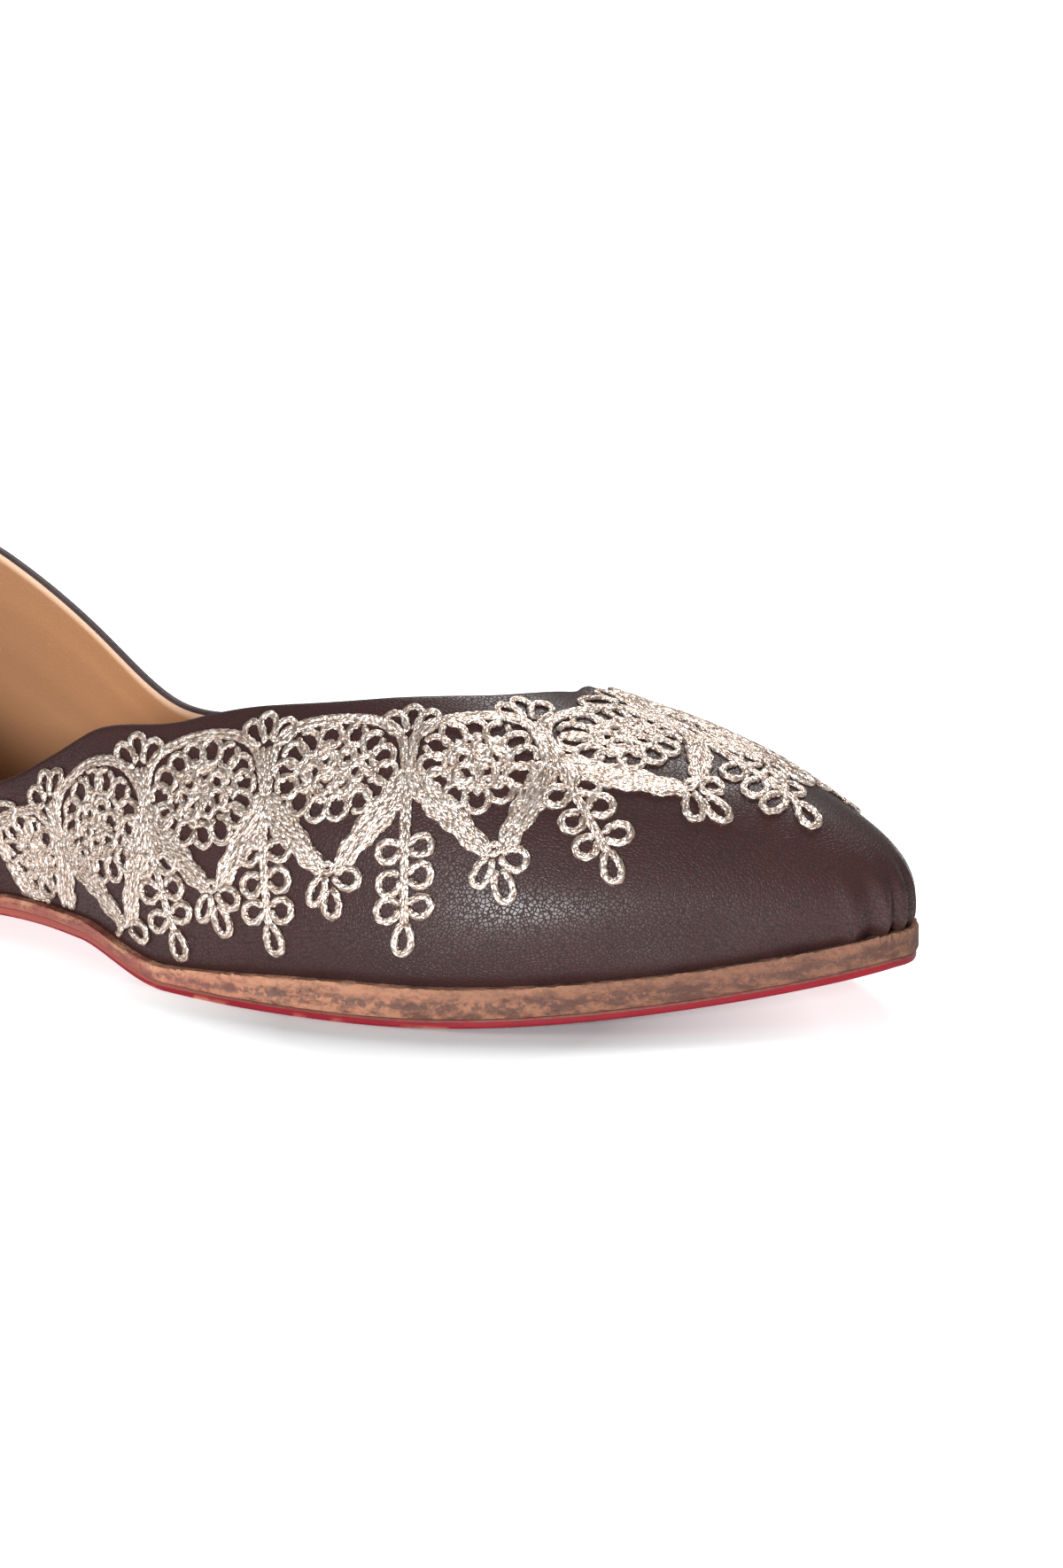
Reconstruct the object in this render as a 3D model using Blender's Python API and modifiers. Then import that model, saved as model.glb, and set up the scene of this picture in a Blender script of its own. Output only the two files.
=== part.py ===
"""A left mojari, a closed-toe slip-on flat, in metres: +X is the toe, +Y the outer side, +Z up.

The origin is the middle of the heel's tread, on the floor. The upper is one hollow wall lofted from the line
where it meets the sole (the feather line) up to the line round the foot opening (the topline). The sole's
layers take their outlines and their heights from the same feather line.
"""
from math import ceil

import bmesh
import bpy
import numpy as np

# Driving sizes
LENGTH = 0.250
BALL_WIDTH = 0.082
HEEL_WIDTH = 0.0525
BACK_HEIGHT = 0.051
THROAT_HEIGHT = 0.0352
WALL = 0.0018

# Sole, from the tread up
HEEL_RISE = 0.0038
TOE_SPRING = 0.0080
BALL_SOLE = 0.0059
WAIST_SOLE = 0.0030
TOE_SOLE = 0.0051
OUTSOLE = 0.0014
INSOLE = 0.0020
SOLE_MARGIN = 0.0012
OUTSOLE_INSET = 0.0003
HEEL_INSET = 0.0006
EDGE_ROUND = 0.0004

# Clearances
GAP = 0.0003
INSOLE_GAP = 0.0007

# Places along the shoe, as shares of its length from the back of the heel
HEEL_FRONT = 0.235
WAIST_RISE_ENDS = 0.522
TREAD_FROM = 0.60
TREAD_TO = 0.73
THINNED_FROM = 0.74
THINNED_BY = 0.20

# Faces between two neighbouring sections, and from the feather line up to the topline
STEPS_PER_SECTION = 4
STEPS_UP = 12

# Sections of the quarters, from the back of the heel to the waist. Along and top_along are shares of the
# length, foot and top are half widths in heel widths, rise is the topline's height over the sole in back
# heights. Splay is the wall's outward lean at the feather line and lean its angle over the horizontal at
# the topline, in degrees. Low and high are the pulls of these two directions, in shares of the wall's reach.
SECTION_COLUMNS = (
    "along", "foot_med", "foot_lat", "top_along", "top_med", "top_lat",
    "rise_med", "rise_lat", "splay", "lean", "low", "high",
)
QUARTER_SECTIONS = (
    (0.000, 0.000, 0.000, 0.016, 0.000, 0.000, 1.000, 1.000, 10, 84, 0.30, 0.40),
    (0.028, 0.297, 0.297, 0.041, 0.228, 0.228, 0.990, 0.990, 10, 84, 0.30, 0.40),
    (0.100, 0.484, 0.484, 0.112, 0.398, 0.398, 0.960, 0.980, 10, 84, 0.30, 0.40),
    (0.210, 0.500, 0.515, 0.220, 0.443, 0.443, 0.845, 0.940, 8, 84, 0.30, 0.40),
    (0.330, 0.437, 0.531, 0.340, 0.440, 0.470, 0.525, 0.815, 8, 84, 0.30, 0.40),
    (0.450, 0.395, 0.578, 0.447, 0.445, 0.505, 0.350, 0.428, 10, 82, 0.30, 0.40),
)

# Sections of the vamp, from the waist to the tip of the toe: the same columns, in ball widths and throat heights
VAMP_SECTIONS = (
    (0.540, 0.368, 0.430, 0.532, 0.340, 0.345, 0.828, 0.665, 8, 76, 0.30, 0.40),
    (0.620, 0.455, 0.490, 0.615, 0.362, 0.335, 1.050, 0.785, 8, 62, 0.34, 0.36),
    (0.700, 0.485, 0.520, 0.695, 0.345, 0.305, 1.090, 0.815, 8, 50, 0.36, 0.36),
    (0.800, 0.440, 0.480, 0.755, 0.275, 0.230, 1.100, 0.860, 10, 36, 0.36, 0.34),
    (0.900, 0.290, 0.310, 0.788, 0.168, 0.135, 1.090, 0.950, 12, 24, 0.37, 0.36),
    (0.972, 0.135, 0.140, 0.800, 0.078, 0.060, 1.055, 1.010, 14, 17, 0.35, 0.38),
    (1.000, 0.000, 0.000, 0.802, 0.010, -0.010, 1.035, 1.035, 14, 15, 0.33, 0.38),
)

# Finish of each piece: colour, roughness and metallic value
FINISHES = {
    "upper": ((0.085, 0.060, 0.055), 0.50, 0.0),
    "insole": ((0.520, 0.300, 0.150), 0.55, 0.0),
    "midsole": ((0.230, 0.110, 0.065), 0.80, 0.0),
    "outsole": ((0.280, 0.020, 0.035), 0.35, 0.0),
    "heel": ((0.200, 0.095, 0.060), 0.70, 0.0),
}


def start_collection(name):
    """Remove the objects of the opened scene and make the shoe's own collection."""
    for item in list(bpy.data.objects):
        bpy.data.objects.remove(item)
    collection = bpy.data.collections.new(name)
    bpy.context.scene.collection.children.link(collection)
    return collection


def make_material(name):
    """Principled material with the colour, roughness and metallic value of one piece."""
    colour, roughness, metallic = FINISHES[name]
    material = bpy.data.materials.new(name)
    material.use_nodes = True
    shader = material.node_tree.nodes["Principled BSDF"]
    shader.inputs["Base Color"].default_value = (*colour, 1.0)
    shader.inputs["Roughness"].default_value = roughness
    shader.inputs["Metallic"].default_value = metallic
    material.diffuse_color = (*colour, 1.0)
    return material


def add_piece(collection, name, form):
    """Turn a bmesh into the named object of one piece, with its material and smooth shading."""
    bmesh.ops.recalc_face_normals(form, faces=form.faces)
    mesh = bpy.data.meshes.new(name)
    form.to_mesh(mesh)
    form.free()
    mesh.shade_smooth()
    mesh.set_sharp_from_angle(angle=np.radians(40))
    mesh.materials.append(make_material(name))
    piece = bpy.data.objects.new(name, mesh)
    collection.objects.link(piece)
    return piece


def ease(share):
    """Smooth step from 0 to 1."""
    share = np.clip(share, 0.0, 1.0)
    return share * share * (3.0 - 2.0 * share)


def tread_height(along):
    """Height of the sole's underside: flat at the ball, up behind it to the heel and up ahead of it to the toe."""
    back = ease((TREAD_FROM - along) / (TREAD_FROM - WAIST_RISE_ENDS))
    toe = np.clip((along - TREAD_TO) / (1.0 - TREAD_TO), 0.0, 1.0)
    return HEEL_RISE * back + TOE_SPRING * toe ** 2


def sole_thickness(along):
    """Thickness of outsole and midsole together, thinned at the waist and a little at the toe."""
    waist = ease((THINNED_FROM - along) / THINNED_BY)
    toe = np.clip((along - TREAD_TO) / (1.0 - TREAD_TO), 0.0, 1.0)
    return BALL_SOLE - (BALL_SOLE - WAIST_SOLE) * waist - (BALL_SOLE - TOE_SOLE) * toe


def seat_height(along):
    """Height of the sole's upper face, where the upper and the insole sit."""
    return tread_height(along) + sole_thickness(along)


def section_ring():
    """The sections' values in metres and radians, in order: heel, medial side, toe, lateral side."""
    rows = []
    for table, width, height in (
        (QUARTER_SECTIONS, HEEL_WIDTH, BACK_HEIGHT),
        (VAMP_SECTIONS, BALL_WIDTH, THROAT_HEIGHT),
    ):
        for values in table:
            row = dict(zip(SECTION_COLUMNS, values))
            row.update({key: row[key] * width for key in ("foot_med", "foot_lat", "top_med", "top_lat")})
            row.update({key: row[key] * height for key in ("rise_med", "rise_lat")})
            rows.append(row)
    ring = []
    for side, sign, part in (("med", -1.0, rows[:-1]), ("lat", 1.0, rows[:0:-1])):
        for row in part:
            ring.append((
                row["along"], sign * row["foot_" + side], row["top_along"], sign * row["top_" + side],
                row["rise_" + side], np.radians(row["splay"]), np.radians(row["lean"]), row["low"], row["high"],
            ))
    return np.array(ring)


def closed_spline(knots):
    """Smooth closed curve through evenly numbered knots, as a function of the knot number."""
    count = len(knots)
    system = 4.0 * np.eye(count) + np.roll(np.eye(count), 1, axis=1) + np.roll(np.eye(count), -1, axis=1)
    slopes = np.linalg.solve(system, 3.0 * (np.roll(knots, -1, axis=0) - np.roll(knots, 1, axis=0)))

    def value(place):
        place = place % count
        start = int(place) % count
        end = (start + 1) % count
        share = place - int(place)
        return (
            (2 * share**3 - 3 * share**2 + 1) * knots[start]
            + (share**3 - 2 * share**2 + share) * slopes[start]
            + (3 * share**2 - 2 * share**3) * knots[end]
            + (share**3 - share**2) * slopes[end]
        )

    return value


RING = section_ring()
SECTION = closed_spline(RING)
HALF_ROUND = len(RING) // 2


def to_x(along):
    """Distance ahead of the heel's middle at a share of the length."""
    return (along - HEEL_FRONT / 2) * LENGTH


def to_along(x):
    """Share of the length at a distance ahead of the heel's middle."""
    return x / LENGTH + HEEL_FRONT / 2


def outward(place, column):
    """Unit vector out of the feather line (column 0) or the topline (column 2), level with the floor."""
    step = 0.001
    run = SECTION(place + step) - SECTION(place - step)
    across = np.array((run[column + 1], -run[column] * LENGTH, 0.0))
    return across / np.linalg.norm(across)


def wall_point(place, share):
    """Point of the upper's outer face: place counts sections round the shoe, share goes up from the sole."""
    along, foot_y, top_along, top_y, rise, splay, lean, low, high = SECTION(place)
    foot = np.array((to_x(along), foot_y, seat_height(along) + GAP))
    top = np.array((to_x(top_along), top_y, seat_height(top_along) + rise))
    reach = np.linalg.norm(top - foot)
    up = np.array((0.0, 0.0, 1.0))
    first = foot + low * reach * (np.sin(splay) * outward(place, 0) + np.cos(splay) * up)
    second = top - high * reach * (np.sin(lean) * up - np.cos(lean) * outward(place, 2))
    rest = 1.0 - share
    return rest**3 * foot + 3 * rest**2 * share * first + 3 * rest * share**2 * second + share**3 * top


def add_upper(collection):
    """The upper's outer face as an open loft round the shoe, given its wall inward by Solidify."""
    form = bmesh.new()
    round_steps = STEPS_PER_SECTION * len(RING)
    rings = []
    for level in range(STEPS_UP + 1):
        share = level / STEPS_UP
        rings.append([form.verts.new(wall_point(step / STEPS_PER_SECTION, share)) for step in range(round_steps)])
    for lower, upper in zip(rings, rings[1:]):
        for step in range(round_steps):
            after = (step + 1) % round_steps
            form.faces.new((lower[step], lower[after], upper[after], upper[step]))
    piece = add_piece(collection, "upper", form)
    wall = piece.modifiers.new("wall", "SOLIDIFY")
    wall.thickness = WALL
    wall.offset = -1.0
    wall.use_even_offset = True


def outline_point(place, margin):
    """Point of the feather line pushed outward by a margin, in plan."""
    along, foot_y = SECTION(place)[:2]
    return np.array((to_x(along), foot_y)) + margin * outward(place, 0)[:2]


def add_layer(collection, name, margin, top, bottom, last=None):
    """A layer of the sole: its plan from the feather line, its two faces from heights along the shoe.

    The plan is a fan of cross strips from the back of the heel, each between a medial point and the lateral
    point of the same section. It ends at the section number last, or runs round the toe.
    """
    form = bmesh.new()
    end = HALF_ROUND if last is None else last
    steps = ceil(end * STEPS_PER_SECTION)
    places = [end * step / steps for step in range(steps + 1)]
    medial = [form.verts.new((*outline_point(place, margin), 0.0)) for place in places]
    lateral_places = places[1:-1] if last is None else places[1:]
    lateral = [form.verts.new((*outline_point(-place, margin), 0.0)) for place in lateral_places]
    lateral.insert(0, medial[0])
    if last is None:
        lateral.append(medial[-1])
    for step in range(steps):
        corners = (medial[step], medial[step + 1], lateral[step + 1], lateral[step])
        form.faces.new(list(dict.fromkeys(corners)))
    for vertex in form.verts:
        vertex.co.z = bottom(to_along(vertex.co.x))
    grown = bmesh.ops.extrude_face_region(form, geom=form.faces[:])["geom"]
    for item in grown:
        if isinstance(item, bmesh.types.BMVert):
            item.co.z = top(to_along(item.co.x))
    piece = add_piece(collection, name, form)
    rounding = piece.modifiers.new("rounded edges", "BEVEL")
    rounding.width = EDGE_ROUND
    rounding.segments = 1
    rounding.angle_limit = np.radians(40)


def section_at(along):
    """Section number on the medial side where the feather line reaches a share of the length."""
    places = np.linspace(0.0, HALF_ROUND, 50 * HALF_ROUND + 1)
    return float(np.interp(along, [SECTION(place)[0] for place in places], places))


def add_sole(collection):
    """Insole, midsole, outsole and heel, each seated on the one below it."""
    add_layer(
        collection, "insole", -(WALL + INSOLE_GAP),
        top=lambda along: seat_height(along) + GAP + INSOLE,
        bottom=lambda along: seat_height(along) + GAP,
    )
    add_layer(
        collection, "midsole", SOLE_MARGIN,
        top=seat_height,
        bottom=lambda along: tread_height(along) + OUTSOLE + GAP,
    )
    add_layer(
        collection, "outsole", SOLE_MARGIN - OUTSOLE_INSET,
        top=lambda along: tread_height(along) + OUTSOLE,
        bottom=tread_height,
    )
    add_layer(
        collection, "heel", SOLE_MARGIN - HEEL_INSET,
        top=lambda along: tread_height(along) - GAP,
        bottom=lambda along: 0.0,
        last=section_at(HEEL_FRONT),
    )


def main():
    collection = start_collection("mojari")
    add_upper(collection)
    add_sole(collection)


main()
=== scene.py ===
"""Dresses the left mojari's solids, in metres: +X is the toe, +Y the outer side, +Z up.

The leather upper with its lining, the raw-edged sole and the plain heel are finer pieces over the solids. The
metal-thread band is sewn on from a small chart: a unit counts repeats from the middle of the toe, negative on
the inner side, and a depth is measured down the upper from the topline.
"""
from math import cos, pi, radians, sin

import bmesh
import bpy
import numpy as np
from mathutils import Matrix, Vector


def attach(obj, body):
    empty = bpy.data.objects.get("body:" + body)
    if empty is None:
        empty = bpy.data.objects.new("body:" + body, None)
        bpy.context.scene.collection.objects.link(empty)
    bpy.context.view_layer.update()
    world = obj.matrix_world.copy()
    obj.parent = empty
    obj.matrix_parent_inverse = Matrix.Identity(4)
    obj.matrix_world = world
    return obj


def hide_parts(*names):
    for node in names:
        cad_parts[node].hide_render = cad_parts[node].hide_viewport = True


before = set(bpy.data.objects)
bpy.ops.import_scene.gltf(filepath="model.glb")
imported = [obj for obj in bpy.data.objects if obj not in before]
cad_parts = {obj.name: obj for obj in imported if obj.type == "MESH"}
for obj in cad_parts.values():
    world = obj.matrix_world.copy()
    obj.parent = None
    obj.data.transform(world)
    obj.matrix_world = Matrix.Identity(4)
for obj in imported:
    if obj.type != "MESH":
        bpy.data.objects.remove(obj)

bl_info = {
    "name": "Mojari",
    "version": (1, 0, 0),
    "blender": (4, 5, 0),
    "location": "3D View > Sidebar > Mojari",
    "description": "Makes the leather, sole and metal-thread band of a slip-on shoe over its solids",
    "category": "Object",
}

MM = 0.001

# Sizes of the solids
LENGTH = 0.250
BALL_WIDTH = 0.082
HEEL_WIDTH = 0.0525
BACK_HEIGHT = 0.051
THROAT_HEIGHT = 0.0352
WALL = 0.0018
HEEL_RISE = 0.0038
TOE_SPRING = 0.0080
BALL_SOLE = 0.0059
WAIST_SOLE = 0.0030
TOE_SOLE = 0.0051
OUTSOLE = 0.0014
INSOLE = 0.0020
SOLE_MARGIN = 0.0012
OUTSOLE_INSET = 0.0003
HEEL_INSET = 0.0006
GAP = 0.0003
INSOLE_GAP = 0.0007

# Places along the shoe, as shares of its length from the back of the heel
HEEL_FRONT = 0.235
WAIST_RISE_ENDS = 0.522
TREAD_FROM = 0.60
TREAD_TO = 0.73
THINNED_FROM = 0.74
THINNED_BY = 0.20

# Sections of the quarters and of the vamp, as in the solids: along, two half widths at the sole, along at the
# topline, two half widths there, two topline heights, lean at the sole and at the topline, and their pulls
QUARTER_SECTIONS = (
    (0.000, 0.000, 0.000, 0.016, 0.000, 0.000, 1.000, 1.000, 10, 84, 0.30, 0.40),
    (0.028, 0.297, 0.297, 0.041, 0.228, 0.228, 0.990, 0.990, 10, 84, 0.30, 0.40),
    (0.100, 0.484, 0.484, 0.112, 0.398, 0.398, 0.960, 0.980, 10, 84, 0.30, 0.40),
    (0.210, 0.500, 0.515, 0.220, 0.443, 0.443, 0.845, 0.940, 8, 84, 0.30, 0.40),
    (0.330, 0.437, 0.531, 0.340, 0.440, 0.470, 0.525, 0.815, 8, 84, 0.30, 0.40),
    (0.450, 0.395, 0.578, 0.447, 0.445, 0.505, 0.350, 0.428, 10, 82, 0.30, 0.40),
)
VAMP_SECTIONS = (
    (0.540, 0.368, 0.430, 0.532, 0.340, 0.345, 0.828, 0.665, 8, 76, 0.30, 0.40),
    (0.620, 0.455, 0.490, 0.615, 0.362, 0.335, 1.050, 0.785, 8, 62, 0.34, 0.36),
    (0.700, 0.485, 0.520, 0.695, 0.345, 0.305, 1.090, 0.815, 8, 50, 0.36, 0.36),
    (0.800, 0.440, 0.480, 0.755, 0.275, 0.230, 1.100, 0.860, 10, 36, 0.36, 0.34),
    (0.900, 0.290, 0.310, 0.788, 0.168, 0.135, 1.090, 0.950, 12, 24, 0.37, 0.36),
    (0.972, 0.135, 0.140, 0.800, 0.078, 0.060, 1.055, 1.010, 14, 17, 0.35, 0.38),
    (1.000, 0.000, 0.000, 0.802, 0.010, -0.010, 1.035, 1.035, 14, 15, 0.33, 0.38),
)

# Chart of the band. Stems stand at whole units, from the inner end to the outer end. For each stem: its
# section number at the topline and at the stem depth, and its pinch's and lowest loop's depths in millimetres
STEM_DEPTH = 36 * MM
STEMS = (
    (-6, 4.80, 5.55, 12.9, 12.9),
    (-5, 5.48, 6.00, 13.4, 13.4),
    (-4, 6.38, 6.93, 13.5, 37.0),
    (-3, 7.50, 7.78, 14.9, 38.1),
    (-2, 8.68, 8.66, 12.8, 38.9),
    (-1, 9.76, 9.83, 14.9, 35.4),
    (0, 11.71, 11.48, 18.8, 43.0),
    (1, 12.45, 12.68, 18.8, 42.4),
    (2, 14.34, 14.20, 15.0, 34.5),
    (3, 15.45, 15.40, 12.8, 34.5),
    (4, 16.60, 16.32, 13.4, 32.5),
    (5, 17.62, 17.20, 12.5, 29.5),
    (6, 18.48, 18.10, 12.0, 12.0),
    (7, 19.05, 18.45, 11.0, 11.0),
)

# For each unit between two stems, in millimetres: depths of the arch's crown and of the medallion's centre,
# the medallion's half height, and the depth where its two leaves join
UNITS = (
    (-5.5, 5.0, 12.8, 6.8, 26.9),
    (-4.5, 5.2, 15.2, 8.4, 30.2),
    (-3.5, 4.0, 13.0, 7.8, 27.4),
    (-2.5, 3.2, 11.6, 7.1, 26.1),
    (-1.5, 4.0, 12.3, 7.1, 26.0),
    (-0.5, 5.6, 13.8, 7.1, 27.3),
    (0.5, 5.2, 13.4, 6.8, 29.0),
    (1.5, 5.0, 13.2, 7.1, 27.0),
    (2.5, 4.0, 12.3, 7.0, 25.5),
    (3.5, 3.4, 11.6, 7.0, 24.5),
    (4.5, 4.0, 12.3, 7.2, 25.0),
    (5.5, 4.6, 12.6, 7.0, 25.0),
    (6.5, 4.6, 11.5, 6.0, 22.0),
)

STEM_TABLE = np.array(STEMS)

# Where the soft topline settles or stands against the solid: place, reach in places, height in millimetres
TOPLINE_SAG = (
    (4.75, 0.75, -1.5), (6.35, 1.15, -1.45), (7.5, 1.7, -1.3),
    (9.6, 1.3, -0.5), (17.9, 1.2, -1.4), (19.4, 0.6, 1.3),
)

# Hollows and ridges of the worn leather: place, share, reach in places and in shares, height in millimetres
CREASES = (
    (12.0, 0.96, 1.1, 0.10, 0.45),
    (10.9, 0.30, 1.2, 0.22, -0.50),
    (11.7, 0.42, 0.8, 0.12, 0.25),
    (12.3, 0.42, 1.7, 0.33, -1.10),
    (9.6, 0.22, 1.3, 0.20, 0.40),
    (9.95, 0.02, 0.45, 0.10, 0.45),
    (10.3, 0.10, 0.30, 0.10, -0.30),
    (8.2, 0.35, 1.0, 0.25, -0.35),
    (13.3, 0.35, 1.2, 0.25, -0.45),
    (15.0, 0.30, 1.2, 0.25, 0.40),
    (5.2, 0.45, 0.8, 0.30, -0.45),
    (18.8, 0.45, 0.8, 0.30, -0.45),
    (3.0, 0.40, 1.2, 0.35, 0.50),
    (21.0, 0.40, 1.2, 0.35, 0.50),
    (0.0, 0.55, 1.0, 0.30, -0.50),
)

# Lasting pleats at the tip of the toe: place, width in places, height in millimetres
PLEATS = (
    (11.25, 0.12, 0.55), (11.45, 0.10, -0.60), (11.62, 0.08, 0.75), (11.77, 0.07, -0.75), (11.90, 0.07, 0.80),
    (12.03, 0.07, -0.75), (12.18, 0.08, 0.70), (12.35, 0.09, -0.60), (12.55, 0.11, 0.55),
)

# Shares of the wall where the pleats and the seam's hollow fade out, and the lining's share of the relief
PLEAT_TOP = 0.27
SEAM_TOP = 0.035
SEAM_DEPTH = 0.35 * MM
LINING_RELIEF = 0.6

# The throat stands a little higher over the toe: place, reach in places, height
THROAT_PLACE = 11.75
THROAT_REACH = 0.45
THROAT_LIFT = 0.5 * MM

# Vertices closer than this are merged, and faces narrower than this are dissolved
MERGED = 2e-6
SLIVER = 1e-6

# Rows of the table of wall heights for each section, and its columns
TABLE_ROWS = 20
TABLE_COLUMNS = 121

# Faces round the upper, and up its outer face, its rim and its lining; where on the rim the materials change
ROUND_STEPS = 576
OUTER_STEPS = 72
RIM_STEPS = 8
INNER_STEPS = 30
CUT_EDGE_FROM = 0.25
LINING_FROM = 0.9
MAP_WIDTH = 0.6

# Faces of a sole layer: round its outline, in from its edge, over its rounding and up its edge
SLAB_STEPS = 1200
CROSS_STEPS = 6
ROUND_ROWS = 2
EDGE_STEPS = 8

# Radius of a layer's rounding, share of its length without a spine at each end, fuzz and hollow of its faces
ROUND_EDGE = 0.4 * MM
SPINE_INSET = 0.12
EDGE_FUZZ = 0.32 * MM
FUZZ_SEED = 7
SOCK_DISH = 0.5 * MM

# Where tones change, and where the lining's painted shade deepens: metres ahead of the heel's middle, down
# from the topline or up from the floor
LINING_DARKENS = (0.030, 0.095)
LINING_DEPTHS = (0.006, 0.032)
PALE_LINE = (0.0002, 0.0009)
EDGE_DARKENS = (0.125, 0.200)
STAIN_STARTS = (0.030, 0.075)
STAIN_ENDS = (0.112, 0.140)
BARE_LINE_CLEARS = (0.105, 0.140)
PAINT_DROPS = (0.095, 0.135)
SCUFFS = (0.0002, 0.0008)

# Ranges of noise that give leather and cut edges their tones, and the lining's pebbles for each metre
MOTTLE = (0.35, 0.65)
STREAKS = (0.30, 0.70)
LINING_CELLS = 1700.0

# Loops in millimetres: angle in degrees, length, width, place beside the stem or the join and below the top
CLUSTER_PETALS = ((230, 4.1, 3.0, -1.0, -0.2), (270, 3.9, 2.7, 0.0, -0.9), (310, 4.1, 3.0, 1.0, -0.2))
TREFOIL_PETALS = ((122, 4.2, 2.4, -0.8, 0.5), (84, 4.4, 2.6, 0.2, 2.3), (26, 3.8, 3.0, 0.9, 0.3))

# An arch's crown, as share of its reach and millimetres down. A medallion's mats, as share of its size and
# curls. Its rings, as share of its size, loops for each millimetre round it, a loop's millimetres and lift.
ARCH_CROWN = ((-0.66, 1.1), (-0.32, 0.2), (0.0, 0.0), (0.32, 0.2), (0.66, 1.1))
MEDALLION_MATS = ((0.52, 9), (0.14, 3))
MEDALLION_RINGS = ((1.0, 0.335, 3.25, 0.30), (0.50, 0.34, 2.5, 0.50))
INNER_UNITS = 6
LEAF_ROWS = 6
LOOP_POINTS = 15
SHORTEST_SPRAY = 8 * MM
FIRST_PAIR = 6.9
PAIR_STEP = 4.15
WIDTH_DEPTH = 12 * MM

# A thread's rings and faces, its least distance from the topline and its section in shares of its half width
RING_STEP = 0.34 * MM
SIDES = 8
SHORTEST_STRAND = 6
EDGE_KEPT = 0.9 * MM
STITCH_SWELL = 0.13
CROWN_DIP = 0.16
THREAD_HEIGHT = 0.72
THREAD_SEAT = 0.30
LAYER = 0.42 * MM
STRAND_SHIFT = 7.3

# The picture in dots, the camera's sensor in millimetres, where the lights aim and the middle of the shade
PICTURE_WIDTH, PICTURE_HEIGHT = 1200, 1770
SENSOR = 36.0
FLOOR_REACH = 8.0
LIGHTS_AIM = (0.12, 0.0, 0.02)
SHADE_MIDDLE = (0.165, -0.035, 0.0)


def ease(share):
    """Smooth step from 0 to 1."""
    share = np.clip(share, 0.0, 1.0)
    return share * share * (3.0 - 2.0 * share)


def bell(offset, reach):
    """Smooth hump, 1 at no offset and 0 from the reach on."""
    return ease(1.0 - np.abs(offset) / reach)


def unit_vectors(vectors):
    """Rows scaled to length one."""
    return vectors / np.maximum(np.linalg.norm(vectors, axis=-1, keepdims=True), 1e-12)


def between_knots(share, first, slope_out, last, slope_in):
    """Points of the smooth curve from one knot to the next, with the curve's slopes at both."""
    return (
        (2 * share**3 - 3 * share**2 + 1) * first
        + (share**3 - 2 * share**2 + share) * slope_out
        + (3 * share**2 - 2 * share**3) * last
        + (share**3 - share**2) * slope_in
    )


def toe_share(along):
    """Share of the way from the end of the tread's flat to the toe's tip."""
    return np.clip((along - TREAD_TO) / (1.0 - TREAD_TO), 0.0, 1.0)


def tread_height(along):
    """Height of the sole's underside."""
    back = ease((TREAD_FROM - along) / (TREAD_FROM - WAIST_RISE_ENDS))
    return HEEL_RISE * back + TOE_SPRING * toe_share(along) ** 2


def seat_height(along):
    """Height of the sole's upper face, where the upper sits."""
    waist = ease((THINNED_FROM - along) / THINNED_BY)
    thickness = BALL_SOLE - (BALL_SOLE - WAIST_SOLE) * waist - (BALL_SOLE - TOE_SOLE) * toe_share(along)
    return tread_height(along) + thickness


def section_ring():
    """The sections' values in metres and radians, in order: heel, inner side, toe, outer side."""
    rows = []
    for table, width, height in (
        (QUARTER_SECTIONS, HEEL_WIDTH, BACK_HEIGHT),
        (VAMP_SECTIONS, BALL_WIDTH, THROAT_HEIGHT),
    ):
        scale = np.array((1, width, width, 1, width, width, height, height, pi / 180, pi / 180, 1, 1))
        rows.extend(np.array(table) * scale)
    ring = []
    for side, sign, part in ((0, -1.0, rows[:-1]), (1, 1.0, rows[:0:-1])):
        for row in part:
            widths = (sign * row[1 + side], row[3], sign * row[4 + side], row[6 + side])
            ring.append((row[0], *widths, *row[8:12]))
    return np.array(ring)


def closed_spline(knots):
    """Smooth closed curve through evenly numbered knots, as a function of the knot number."""
    count = len(knots)
    system = 4.0 * np.eye(count) + np.roll(np.eye(count), 1, axis=1) + np.roll(np.eye(count), -1, axis=1)
    slopes = np.linalg.solve(system, 3.0 * (np.roll(knots, -1, axis=0) - np.roll(knots, 1, axis=0)))

    def value(place):
        place = np.asarray(place, dtype=float) % count
        start = np.floor(place).astype(int) % count
        end = (start + 1) % count
        share = (place - np.floor(place))[..., None]
        return between_knots(share, knots[start], slopes[start], knots[end], slopes[end])

    return value


RING = section_ring()
SECTION = closed_spline(RING)
ROUND = len(RING)


def to_x(along):
    """Distance ahead of the heel's middle at a share of the length."""
    return (along - HEEL_FRONT / 2) * LENGTH


def to_along(x):
    """Share of the length at a distance ahead of the heel's middle."""
    return x / LENGTH + HEEL_FRONT / 2


def outward(place, column):
    """Unit vectors out of the feather line (column 0) or the topline (column 2), level with the floor."""
    step = 0.001
    run = SECTION(place + step) - SECTION(place - step)
    across = np.stack((run[..., column + 1], -run[..., column] * LENGTH, 0.0 * run[..., 0]), axis=-1)
    return unit_vectors(across)


def topline_sag(place):
    """Height that the leather's edge stands above the solid's topline."""
    place = np.asarray(place, float) % ROUND
    return sum(rise * MM * bell(place - middle, reach) for middle, reach, rise in TOPLINE_SAG)


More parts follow.
